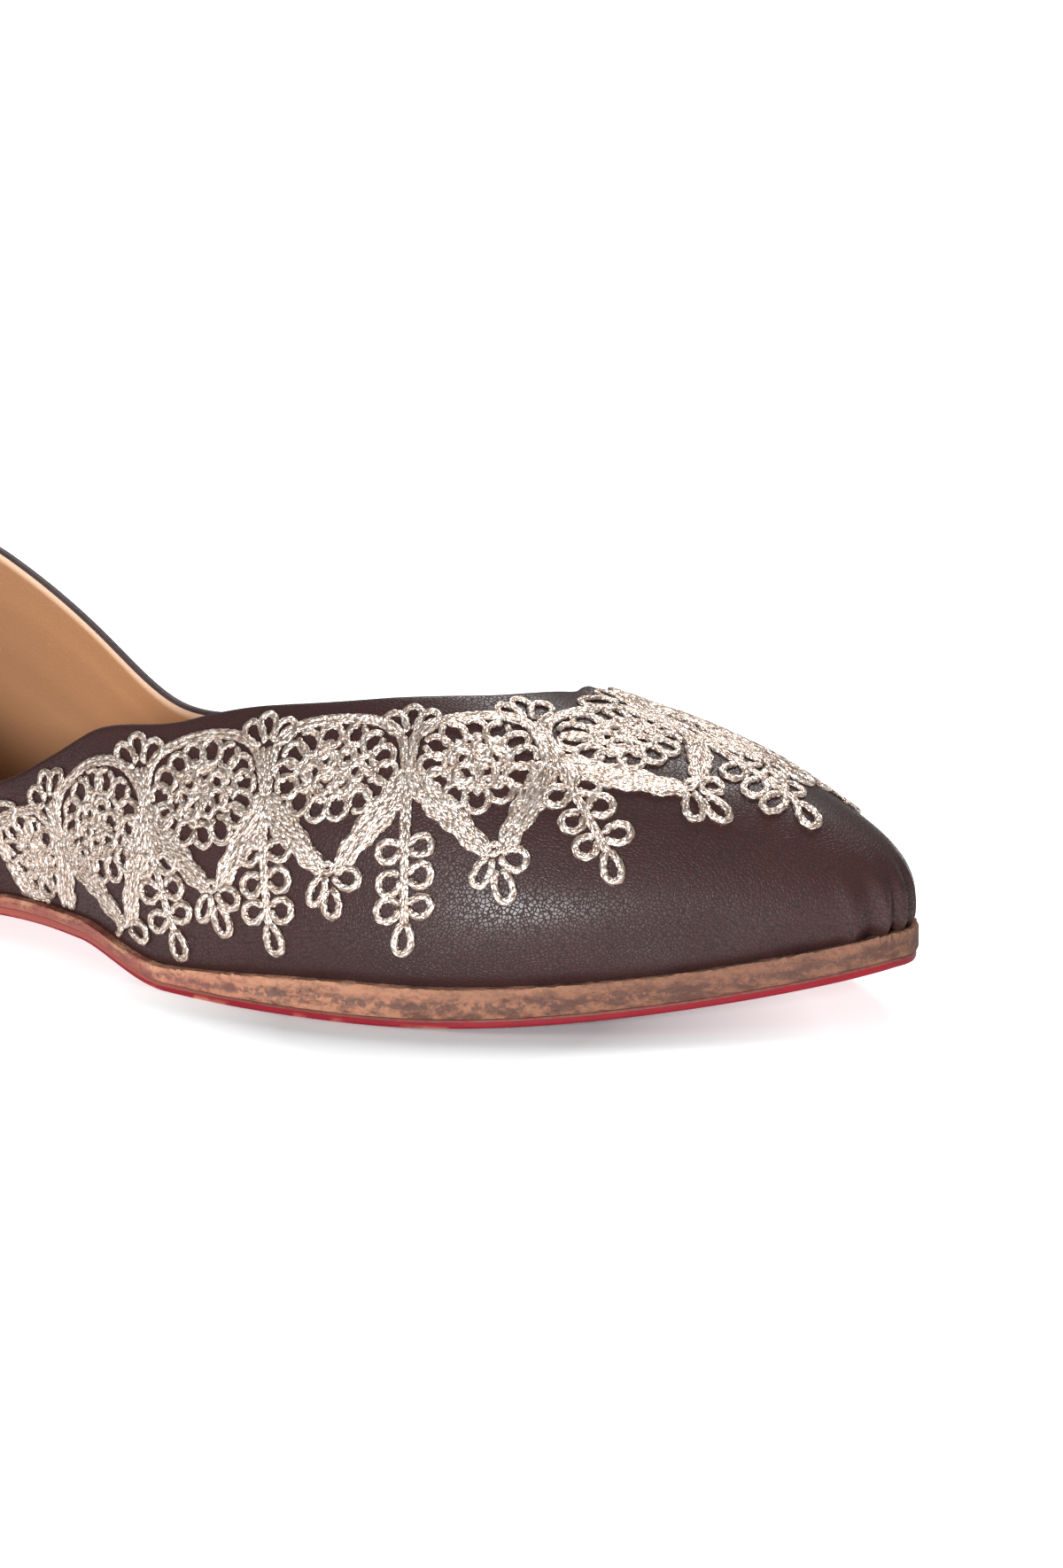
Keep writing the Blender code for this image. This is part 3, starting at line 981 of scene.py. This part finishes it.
def unit_width(unit, depth):
    """Metres of the upper's face in one unit at a depth."""
    half = 0.05
    places = [chart_place(unit + step, depth) for step in (-half, half)]
    ends = [wall_point(place, share_at(place, depth)) for place in places]
    return np.linalg.norm(ends[1] - ends[0], axis=-1) / (2 * half)


def petal(base, angle, length, width, point=0.25):
    """Closed loop of thread from its base out to a length, at an angle from the toe way to the sole way."""
    turn = np.linspace(0.0, 2 * pi, LOOP_POINTS)
    along = length * (1 - np.cos(turn)) / 2
    across = 0.5 * width * np.sin(turn) * (1.0 - point * np.cos(turn)) / (1.0 + 0.3 * point)
    way = np.array((cos(angle), sin(angle)))
    side = np.array((-way[1], way[0]))
    return np.array(base) + along[:, None] * way + across[:, None] * side


def eyelet(x, y, length, width, angle):
    """Closed round loop of thread about its middle."""
    turn = np.linspace(0.0, 2 * pi, LOOP_POINTS) + angle + pi / 2
    ring = np.stack((0.5 * length * np.cos(turn), 0.5 * width * np.sin(turn)), axis=1)
    swing = np.array(((cos(angle), sin(angle)), (-sin(angle), cos(angle))))
    return ring @ swing + np.array((x, y))


def smooth_line(knots, steps=6):
    """Smooth open curve through a few chart points."""
    knots = np.array(knots, float)
    slopes = np.gradient(knots, axis=0)
    pieces = []
    for start in range(len(knots) - 1):
        end = start + 1
        share = np.linspace(0.0, 1.0, steps, endpoint=end == len(knots) - 1)[:, None]
        pieces.append(between_knots(share, knots[start], slopes[start], knots[end], slopes[end]))
    return np.concatenate(pieces)


def beside(line, offset):
    """The line moved sideways by an offset, which may change along it."""
    way = unit_vectors(np.gradient(line, axis=0))
    side = np.stack((-way[:, 1], way[:, 0]), axis=1)
    return line + side * np.reshape(offset, (-1, 1)) * np.ones((len(line), 1))


class Band:
    """The strands of one family: chart lines with the unit that they stand at, a width and a lift."""

    def __init__(self, seed, thread):
        self.random = np.random.default_rng(seed)
        self.thread = thread
        self.strands = []

    def vary(self, spread):
        """A seeded factor round one."""
        return 1.0 + self.random.uniform(-spread, spread)

    def sew(self, unit, line, width=1.0, lift=0.0):
        """Adds one strand, given in metres from the unit's line."""
        self.strands.append((unit, np.array(line, float), width * self.thread, lift))

    def sew_petals(self, unit, top, petals, spread, width, lift):
        """Adds loops from a top, given as angle in degrees, length, width and place in millimetres."""
        for angle, length, wide, x, y in petals:
            turned = radians(angle + self.random.uniform(-8, 8))
            line = petal((x * MM, top + y * MM), turned, length * MM * self.vary(spread), wide * MM, 0.2)
            self.sew(unit, line, width, lift)


def sew_spray(band, unit, pinch, tip):
    """A hanging spray: double stem, three pairs of loops and one longer loop at the tip."""
    if tip - pinch < SHORTEST_SPRAY:
        return
    sway = band.random.uniform(-0.4, 0.4) * MM
    start, end = pinch - 0.6 * MM, tip - 4.6 * MM

    def stem_x(depth):
        return sway * np.sin((depth - start) / (end - start) * pi)

    depths = np.linspace(start, end, 12)
    for offset in (-0.38, 0.38):
        narrowed = offset * MM * np.where(depths > tip - 15 * MM, 0.6, 1.0)
        band.sew(unit, np.stack((stem_x(depths) + narrowed, depths), axis=1), 0.78, 0.30)
    for number in range(3):
        middle = tip - (FIRST_PAIR + PAIR_STEP * number) * MM
        for side in (-1, 1):
            tilt = radians(band.random.uniform(-6, 26)) * side
            angle = (0.0 if side > 0 else pi) + tilt
            length = 3.5 * MM * band.vary(0.08)
            width = 3.15 * MM * band.vary(0.10)
            base = (stem_x(middle) + side * 0.7 * MM, middle - 0.35 * MM)
            band.sew(unit, petal(base, angle, length, width, 0.1), 1.0, 0.15)
    lean = radians(90 + band.random.uniform(-10, 10))
    band.sew(unit, petal((0.0, tip - 5.0 * MM), lean, 4.4 * MM, 2.7 * MM * band.vary(0.08), 0.3), 1.0, 0.15)


def sew_cluster(band, unit, pinch):
    """The top of a stem: three loops fanned over a bundle of strands that narrows to the pinch."""
    top = 6.4 * MM - 0.5 * topline_sag(chart_place(unit, 0.0))
    band.sew_petals(unit, top, CLUSTER_PETALS, 0.06, 0.9, 0.40)
    for offset in (-0.55, 0.15, 0.75):
        knots = [(offset * 1.5 * MM, top), (offset * MM, 0.5 * (top + pinch)), (offset * 0.5 * MM, pinch)]
        band.sew(unit, smooth_line(knots), 0.8, 0.30)


def sew_arch(band, unit, half, left, right, top):
    """A double thread from one pinch up over the medallion and down to the next pinch."""
    for inset in (0.0, 0.72 * MM):
        reach = half - 0.4 * MM - 0.35 * inset
        crown = top + inset
        shoulder = crown + 3.0 * MM
        knots = [(-reach, left), (-reach + 0.3 * MM, 0.5 * (left + shoulder)), (-reach + 1.3 * MM, shoulder)]
        knots += [(share * reach, crown + drop * MM) for share, drop in ARCH_CROWN]
        knots += [(reach - 1.3 * MM, shoulder), (reach - 0.3 * MM, 0.5 * (right + shoulder)), (reach, right)]
        band.sew(unit, smooth_line(knots), 0.82, 0.32)


def sew_medallion(band, unit, half, middle, down):
    """Rings of round loops packed over a mat of small swirls, or a few loops where the unit is narrow."""
    random = band.random
    wide = min(half - 1.7 * MM, 9.5 * MM)
    if wide < 3.0 * MM:
        for number in range(6):
            side = -1 if number % 2 else 1
            line = eyelet(side * 1.0 * MM, middle + (number - 2.5) * 2.2 * MM, 2.7 * MM, 2.2 * MM, side * 0.6)
            band.sew(unit, line, 0.95, 0.15)
        return
    for scale, curls in MEDALLION_MATS:
        rx, ry = max(scale * wide, 0.7 * MM), max(scale * down, 0.7 * MM)
        turn = np.linspace(0.0, 2 * pi, curls * 12)
        start = random.uniform(0, 2 * pi)
        spin = start - curls * turn
        wobble = 0.9 * MM * (1.0 + 0.2 * np.sin(3 * turn + start))
        x = rx * np.cos(turn) + wobble * np.cos(spin)
        y = middle + ry * np.sin(turn) + wobble * np.sin(spin)
        band.sew(unit, np.stack((x, y), axis=1), 0.92, 0.0)
    for share, density, size, lift in MEDALLION_RINGS:
        rx = wide * share - 0.5 * size * MM
        ry = down * share - 0.5 * size * MM
        count = max(4, round(2 * pi * np.sqrt(0.5 * (rx * rx + ry * ry)) / MM * density))
        start = random.uniform(0, 2 * pi)
        for number in range(count):
            turn = start + 2 * pi * (number + random.uniform(-0.12, 0.12)) / count
            angle = np.arctan2(ry * sin(turn), rx * cos(turn)) + random.uniform(-0.7, 0.7)
            shift = random.uniform(-0.2, 0.2) * MM
            x = (rx + shift) * cos(turn)
            y = middle + (ry + shift) * sin(turn)
            length = (size + 0.4) * MM * band.vary(0.10)
            band.sew(unit, eyelet(x, y, length, size * MM * band.vary(0.10), angle), 0.9, lift)


def sew_leaf(band, unit, half, pinch, join, side):
    """A thick leaf of parallel strands from a pinch down to the join below the medallion."""
    line = smooth_line([
        (side * (half - 0.3 * MM), pinch - 0.5 * MM), (side * (0.80 * half), pinch + 0.26 * (join - pinch)),
        (side * 0.45 * half, pinch + 0.62 * (join - pinch)), (side * 0.75 * MM, join + 0.4 * MM),
    ], 9)
    share = np.linspace(0.0, 1.0, len(line))
    width = (0.9 + 3.2 * np.sin(pi * np.clip(share * 0.93 + 0.07, 0, 1)) ** 0.8) * MM
    for row in range(LEAF_ROWS):
        part = (row + 0.5) / LEAF_ROWS - 0.5
        ripple = 0.22 * MM * np.sin(share * 34 + row) * (abs(part) > 0.35)
        drift = 0.10 * MM * np.sin(share * 19 + 2.1 * row)
        band.sew(unit, beside(line, part * width + ripple + drift), 0.88, 0.12 + 0.10 * (row % 2))


def sew_trefoil(band, unit, join):
    """Three loops hanging from the join of two leaves, over a small knot."""
    band.sew_petals(unit, join, TREFOIL_PETALS, 0.08, 1.0, 0.2)
    band.sew(unit, petal((-0.9 * MM, join - 0.6 * MM), 0.0, 1.8 * MM, 1.3 * MM, 0.0), 0.9, 0.45)


def lay_strands(band):
    """Section numbers, depths and runs of every strand at even steps, cut off where the sole begins."""
    strands = []
    for unit, line, width, lift in band.strands:
        depth = line[:, 1]
        units = unit + line[:, 0] / unit_width(np.full(len(line), unit), depth)
        place = chart_place(units, depth)
        depth = np.maximum(depth + topline_sag(place), EDGE_KEPT)
        points = wall_point(place, share_at(place, depth))
        run = np.concatenate(((0.0,), np.cumsum(np.linalg.norm(np.diff(points, axis=0), axis=1))))
        count = max(SHORTEST_STRAND, int(round(run[-1] / RING_STEP)))
        even = np.linspace(0.0, run[-1], count)
        place, depth = np.interp(even, run, place), np.interp(even, run, depth)
        held = depth < wall_height(place) - 0.5 * width
        if not held.any():
            continue
        first = int(np.argmax(held))
        kept = held[first:]
        last = first + (int(np.argmin(kept)) if not kept.all() else len(kept))
        if last - first >= SHORTEST_STRAND:
            strands.append((place[first:last], depth[first:last], even[first:last], width, lift))
    return strands


def make_thread(band, name, settings):
    """Sews the band's strands as swelling tubes, from one long grid that is cut between the strands."""
    strands = lay_strands(band)
    counts = [len(strand[0]) for strand in strands]
    place, depth, run = (np.concatenate([strand[part] for strand in strands]) for part in range(3))
    width, lift = (np.repeat([strand[part] for strand in strands], counts) for part in (3, 4))
    share = share_at(place, depth)
    out = wall_ways(place, share)[0]
    points = wall_point(place, share) + relief(place, share)[:, None] * out
    starts = np.concatenate(((0,), np.cumsum(counts)))
    ways = np.concatenate([np.gradient(points[a:b], axis=0) for a, b in zip(starts[:-1], starts[1:])])
    sides = unit_vectors(np.cross(out, unit_vectors(ways)))
    near_end = np.concatenate([np.minimum(np.arange(count), np.arange(count)[::-1]) for count in counts])
    taper = np.where(near_end == 0, 0.0, np.where(near_end == 1, 0.8, 1.0))
    form, columns, rows = grid_form(len(place) - 1, SIDES)
    turn = rows / SIDES * 2 * pi - pi / 2
    swell = 1.0 + STITCH_SWELL * np.sin(2 * pi * run / settings.stitch)[columns] * np.cos(turn)
    dip = 1.0 - CROWN_DIP * np.clip(np.sin(turn), 0.0, 1.0) ** 4
    half = 0.5 * (width * taper)[columns]
    sideways = half * swell * np.cos(turn)
    upward = THREAD_HEIGHT * half * dip * np.sin(turn) + THREAD_SEAT * half + LAYER * lift[columns]
    beside_middle = points[columns] + sideways[:, None] * sides[columns]
    place_vertices(form, beside_middle + upward[:, None] * out[columns])
    strand = np.repeat(np.arange(len(counts)), counts)[columns]
    stitches = run[columns] / settings.stitch + STRAND_SHIFT * strand
    write_map(form, "thread", np.stack((stitches, rows / SIDES), axis=1))
    strand_of = strand.tolist()
    between = [face for face in form.faces if len({strand_of[vertex.index] for vertex in face.verts}) > 1]
    bmesh.ops.delete(form, geom=between, context="FACES_ONLY")
    loose = [edge for edge in form.edges if not edge.link_faces]
    bmesh.ops.delete(form, geom=loose, context="EDGES")
    material = bpy.data.materials.get("metal_thread") or thread_material(settings)
    finish_piece(form, name, [material], crease=75)


def stems():
    """Whole units with their pinch and tip in metres."""
    for unit, _, _, pinch, tip in STEMS:
        yield unit, pinch * MM, tip * MM


def units():
    """Middles of the units with half width, pinches either side, crown, medallion and join, in metres."""
    pinches = {unit: pinch for unit, pinch, _ in stems()}
    for unit, *depths in UNITS:
        half = 0.5 * float(unit_width(np.array([unit]), np.array([WIDTH_DEPTH]))[0])
        yield unit, half, pinches[unit - 0.5], pinches[unit + 0.5], *(depth * MM for depth in depths)


# Studio

def add_light(name, place, size, power, colour=(1.0, 1.0, 1.0)):
    """A soft light at a place, turned to the shoe."""
    data = bpy.data.lights.new(name, "AREA")
    data.shape = "RECTANGLE"
    data.size, data.size_y = size
    data.energy = power
    data.color = colour
    light = add_object(name, data)
    light.location = place
    light.rotation_euler = (Vector(LIGHTS_AIM) - Vector(place)).to_track_quat("-Z", "Y").to_euler()


def camera_place(settings):
    """Where the camera stands so that the toe's tip falls on its spot of the picture."""
    turn, tilt = settings.azimuth, settings.elevation
    back = Vector((sin(turn) * cos(tilt), -cos(turn) * cos(tilt), sin(tilt)))
    right = Vector((cos(turn), sin(turn), 0.0))
    up = back.cross(right)
    focal = settings.lens / SENSOR * PICTURE_HEIGHT
    distance = focal / settings.scale * MM
    tip = Vector((to_x(1.0), 0.0, TOE_SPRING))
    across = (settings.tip_x - PICTURE_WIDTH / 2) / focal * distance
    down = (settings.tip_y - PICTURE_HEIGHT / 2) / focal * distance
    eye = tip + distance * back - across * right + down * up
    return eye, Matrix((right, up, back)).transposed().to_quaternion()


# Settings

def colour_of(title, text, value):
    """A setting that holds a colour."""
    return bpy.props.FloatVectorProperty(
        name=title, description=text, default=value, size=3, subtype="COLOR", min=0.0, max=1.0,
    )


def factor_of(title, text, value):
    """A setting between 0 and 1."""
    return number_of(title, text, value, min=0.0, max=1.0, subtype="FACTOR")


def length_of(title, text, value):
    """A setting that holds a length in metres."""
    return number_of(title, text, value, unit="LENGTH", precision=5)


def number_of(title, text, value, **kind):
    """A setting that holds a plain number, an angle or a power."""
    return bpy.props.FloatProperty(name=title, description=text, default=value, **kind)


class MojariLeather(bpy.types.PropertyGroup):
    """Looks of the upper."""

    colour: colour_of("Leather", "Lighter tone of the leather", (0.036, 0.0125, 0.0110))
    shadow: colour_of("Leather shadow", "Darker tone of the leather", (0.026, 0.0090, 0.0080))
    cell: length_of("Pebble", "Width of one pebble of the grain", 0.00056)
    grain: factor_of("Grain", "Strength of the grain", 0.50)
    grain_depth: length_of("Grain depth", "Height of the pebbles", 0.00006)
    roughness: factor_of("Roughness", "Roughness on top of the pebbles", 0.34)
    shine: factor_of("Shine", "Strength of the leather's reflection", 0.26)
    lining: colour_of("Lining", "Tan of the lining and the sock", (0.43, 0.205, 0.095))
    lining_edge: colour_of("Lining edge", "Pale line beside the cut edge", (0.78, 0.52, 0.36))


class MojariSole(bpy.types.PropertyGroup):
    """Looks of the sole and the heel."""

    edge: colour_of("Edge", "Raw leather of the sole's edge", (0.49, 0.215, 0.125))
    edge_dark: colour_of("Edge shadow", "Darker streaks of the edge", (0.135, 0.060, 0.043))
    edge_grey: colour_of("Edge speckle", "Grey-brown specks in the middle of the edge", (0.130, 0.076, 0.066))
    edge_light: colour_of("Edge top", "Fuzzy line along the top of the edge", (0.52, 0.250, 0.150))
    stain: colour_of("Waist stain", "Paint rubbed into the raw edge at the waist", (0.24, 0.060, 0.047))
    paint: colour_of("Paint", "Crimson of the painted sole", (0.20, 0.010, 0.017))
    lift: length_of("Heel lift", "Thickness of one leather lift of the heel", 0.003)


class MojariThread(bpy.types.PropertyGroup):
    """Looks of the metal thread."""

    width: length_of("Thread", "Width of one strand", 0.0012)
    stitch: length_of("Stitch", "Length of one stitch of the plait", 0.0013)
    colour: colour_of("Thread colour", "Middle tone of the metal", (0.66, 0.515, 0.420))
    # Painted glint: colour of the brightest random facets of the metal.
    bright: colour_of("Bright", "Bright faces of the metal", (0.94, 0.85, 0.775))
    # Painted shade: the brown put into the grooves between the facets.
    shadow: colour_of("Groove", "Brown of the grooves between the strands", (0.24, 0.155, 0.118))
    roughness: factor_of("Roughness", "Roughness of the metal", 0.30)
    crumple: bpy.props.FloatVectorProperty(
        name="Crumple", description="Dents of the foil in each stitch and round the strand",
        default=(1.7, 7.0, 1.0), size=3,
    )
    glint: factor_of("Glint", "Strength of the dents", 0.75)


class MojariStudio(bpy.types.PropertyGroup):
    """Camera, floor and lights."""

    azimuth: number_of("Azimuth", "Camera's turn round the shoe", radians(28.5), subtype="ANGLE")
    elevation: number_of("Elevation", "Camera's height over the horizon", radians(12.0), subtype="ANGLE")
    lens: number_of("Lens", "Focal length in millimetres", 140.0, subtype="DISTANCE_CAMERA")
    scale: number_of("Scale", "Picture dots per millimetre at the toe's tip", 8.0)
    tip_x: number_of("Tip across", "Toe's tip in the picture, from the left", 1021.0)
    tip_y: number_of("Tip down", "Toe's tip in the picture, from the top", 1087.0)
    floor: colour_of("Floor", "Colour of the floor", (0.93, 0.93, 0.935))
    # Painted light: the floor's own glow close under the ball of the shoe.
    glow: number_of("Floor glow", "Light that the floor gives by itself close under the shoe", 0.04)
    sky: number_of("Surroundings", "Light from all round", 0.28)
    back: number_of("Back light", "Power of the high light behind the shoe", 19.0, unit="POWER")
    front: number_of("Front light", "Power of the small light beside the camera", 28.0, unit="POWER")
    front_colour: colour_of("Front light's colour", "Colour of the small light", (0.92, 0.97, 1.0))
    toe: number_of("Toe light", "Power of the low light beyond the toe", 0.3, unit="POWER")


class MOJARI_OT_upper(bpy.types.Operator):
    """Make the leather upper with its rim and lining"""

    bl_idname = "mojari.upper"
    bl_label = "Upper"

    def execute(self, context):
        make_upper(context.scene.mojari_leather)
        return {"FINISHED"}


class MOJARI_OT_sole(bpy.types.Operator):
    """Make the midsole, the crimson outsole and the heel"""

    bl_idname = "mojari.sole"
    bl_label = "Sole and heel"

    def execute(self, context):
        make_sole(context.scene.mojari_sole)
        return {"FINISHED"}


class MOJARI_OT_sock(bpy.types.Operator):
    """Make the tan sock inside the shoe"""

    bl_idname = "mojari.sock"
    bl_label = "Sock"

    def execute(self, context):
        make_sock(context.scene.mojari_leather)
        return {"FINISHED"}


class MOJARI_OT_sprays(bpy.types.Operator):
    """Sew the hanging sprays"""

    bl_idname = "mojari.sprays"
    bl_label = "Sprays"

    def execute(self, context):
        settings = context.scene.mojari_thread
        band = Band(seed=11, thread=settings.width)
        for unit, pinch, tip in stems():
            sew_spray(band, unit, pinch, tip)
        make_thread(band, "thread_sprays", settings)
        return {"FINISHED"}


class MOJARI_OT_arches(bpy.types.Operator):
    """Sew the stems' loops and the arches between them"""

    bl_idname = "mojari.arches"
    bl_label = "Arches"

    def execute(self, context):
        settings = context.scene.mojari_thread
        band = Band(seed=23, thread=settings.width)
        for unit, pinch, _ in stems():
            sew_cluster(band, unit, pinch)
        for unit, half, left, right, crown, *_ in units():
            sew_arch(band, unit, half, left, right, crown)
        make_thread(band, "thread_arches", settings)
        return {"FINISHED"}


class MOJARI_OT_medallions(bpy.types.Operator):
    """Sew the medallions between the stems"""

    bl_idname = "mojari.medallions"
    bl_label = "Medallions"

    def execute(self, context):
        settings = context.scene.mojari_thread
        chart = list(units())
        for name, seed, lot in (("inner", 31, chart[:INNER_UNITS]), ("outer", 37, chart[INNER_UNITS:])):
            band = Band(seed, settings.width)
            for unit, half, _, _, _, middle, down, _ in lot:
                sew_medallion(band, unit, half, middle, down)
            make_thread(band, "thread_medallions_" + name, settings)
        return {"FINISHED"}


class MOJARI_OT_leaves(bpy.types.Operator):
    """Sew the thick leaves below the medallions"""

    bl_idname = "mojari.leaves"
    bl_label = "Leaves"

    def execute(self, context):
        settings = context.scene.mojari_thread
        band = Band(seed=41, thread=settings.width)
        for unit, half, left, right, *_, join in units():
            sew_leaf(band, unit, half, left, join, -1)
            sew_leaf(band, unit, half, right, join, 1)
        make_thread(band, "thread_leaves", settings)
        return {"FINISHED"}


class MOJARI_OT_trefoils(bpy.types.Operator):
    """Sew the trefoils that hang from the leaves"""

    bl_idname = "mojari.trefoils"
    bl_label = "Trefoils"

    def execute(self, context):
        settings = context.scene.mojari_thread
        band = Band(seed=53, thread=settings.width)
        for unit, *_, join in units():
            sew_trefoil(band, unit, join)
        make_thread(band, "thread_trefoils", settings)
        return {"FINISHED"}


class MOJARI_OT_studio(bpy.types.Operator):
    """Set up the pale floor, the soft lights and the camera"""

    bl_idname = "mojari.studio"
    bl_label = "Studio"

    def execute(self, context):
        settings = context.scene.mojari_studio
        form = bmesh.new()
        bmesh.ops.create_grid(form, x_segments=4, y_segments=4, size=FLOOR_REACH)
        mesh = bpy.data.meshes.new("floor")
        form.to_mesh(mesh)
        form.free()
        mesh.materials.append(floor_material(settings))
        add_object("floor", mesh)
        world = bpy.data.worlds.new("soft_white")
        world.use_nodes = True
        backdrop = world.node_tree.nodes["Background"]
        feed(world.node_tree, backdrop, {"Color": (1.0, 1.0, 1.0), "Strength": settings.sky})
        context.scene.world = world
        context.scene.view_settings.view_transform = "Standard"
        add_light("back", (0.10, 0.68, 1.28), (0.8, 0.6), settings.back)
        add_light("front", (0.47, -1.30, 0.22), (0.36, 0.30), settings.front, settings.front_colour)
        add_light("toe", (1.0, -0.35, 0.10), (0.5, 0.16), settings.toe)
        data = bpy.data.cameras.new("camera")
        data.lens = settings.lens
        data.sensor_width = SENSOR
        data.clip_start, data.clip_end = 0.05, 50.0
        camera = add_object("camera", data)
        camera.rotation_mode = "QUATERNION"
        camera.location, camera.rotation_quaternion = camera_place(settings)
        context.scene.camera = camera
        return {"FINISHED"}


PIECES = (
    MOJARI_OT_upper, MOJARI_OT_sole, MOJARI_OT_sock, MOJARI_OT_sprays, MOJARI_OT_arches, MOJARI_OT_medallions,
    MOJARI_OT_leaves, MOJARI_OT_trefoils, MOJARI_OT_studio,
)
SETTINGS = (
    ("mojari_leather", MojariLeather), ("mojari_sole", MojariSole), ("mojari_thread", MojariThread),
    ("mojari_studio", MojariStudio),
)


class MOJARI_PT_pieces(bpy.types.Panel):
    """Lists the shoe's pieces and their looks"""

    bl_idname = "MOJARI_PT_pieces"
    bl_label = "Mojari"
    bl_space_type = "VIEW_3D"
    bl_region_type = "UI"
    bl_category = "Mojari"

    def draw(self, context):
        column = self.layout.column()
        for piece in PIECES:
            column.operator(piece.bl_idname, text=piece.bl_label)
        for name, group in SETTINGS:
            box = self.layout.box()
            settings = getattr(context.scene, name)
            for key in group.__annotations__:
                box.prop(settings, key)


def register():
    for name, group in SETTINGS:
        bpy.utils.register_class(group)
        setattr(bpy.types.Scene, name, bpy.props.PointerProperty(type=group))
    for piece in PIECES:
        bpy.utils.register_class(piece)
    bpy.utils.register_class(MOJARI_PT_pieces)


def unregister():
    bpy.utils.unregister_class(MOJARI_PT_pieces)
    for piece in reversed(PIECES):
        bpy.utils.unregister_class(piece)
    for name, group in reversed(SETTINGS):
        delattr(bpy.types.Scene, name)
        bpy.utils.unregister_class(group)


def main():
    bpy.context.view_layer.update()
    register()
    bpy.ops.mojari.studio()
    bpy.ops.mojari.upper()
    bpy.ops.mojari.sole()
    bpy.ops.mojari.sock()
    bpy.ops.mojari.sprays()
    bpy.ops.mojari.arches()
    bpy.ops.mojari.medallions()
    bpy.ops.mojari.leaves()
    bpy.ops.mojari.trefoils()


if __name__ == "__main__":
    main()
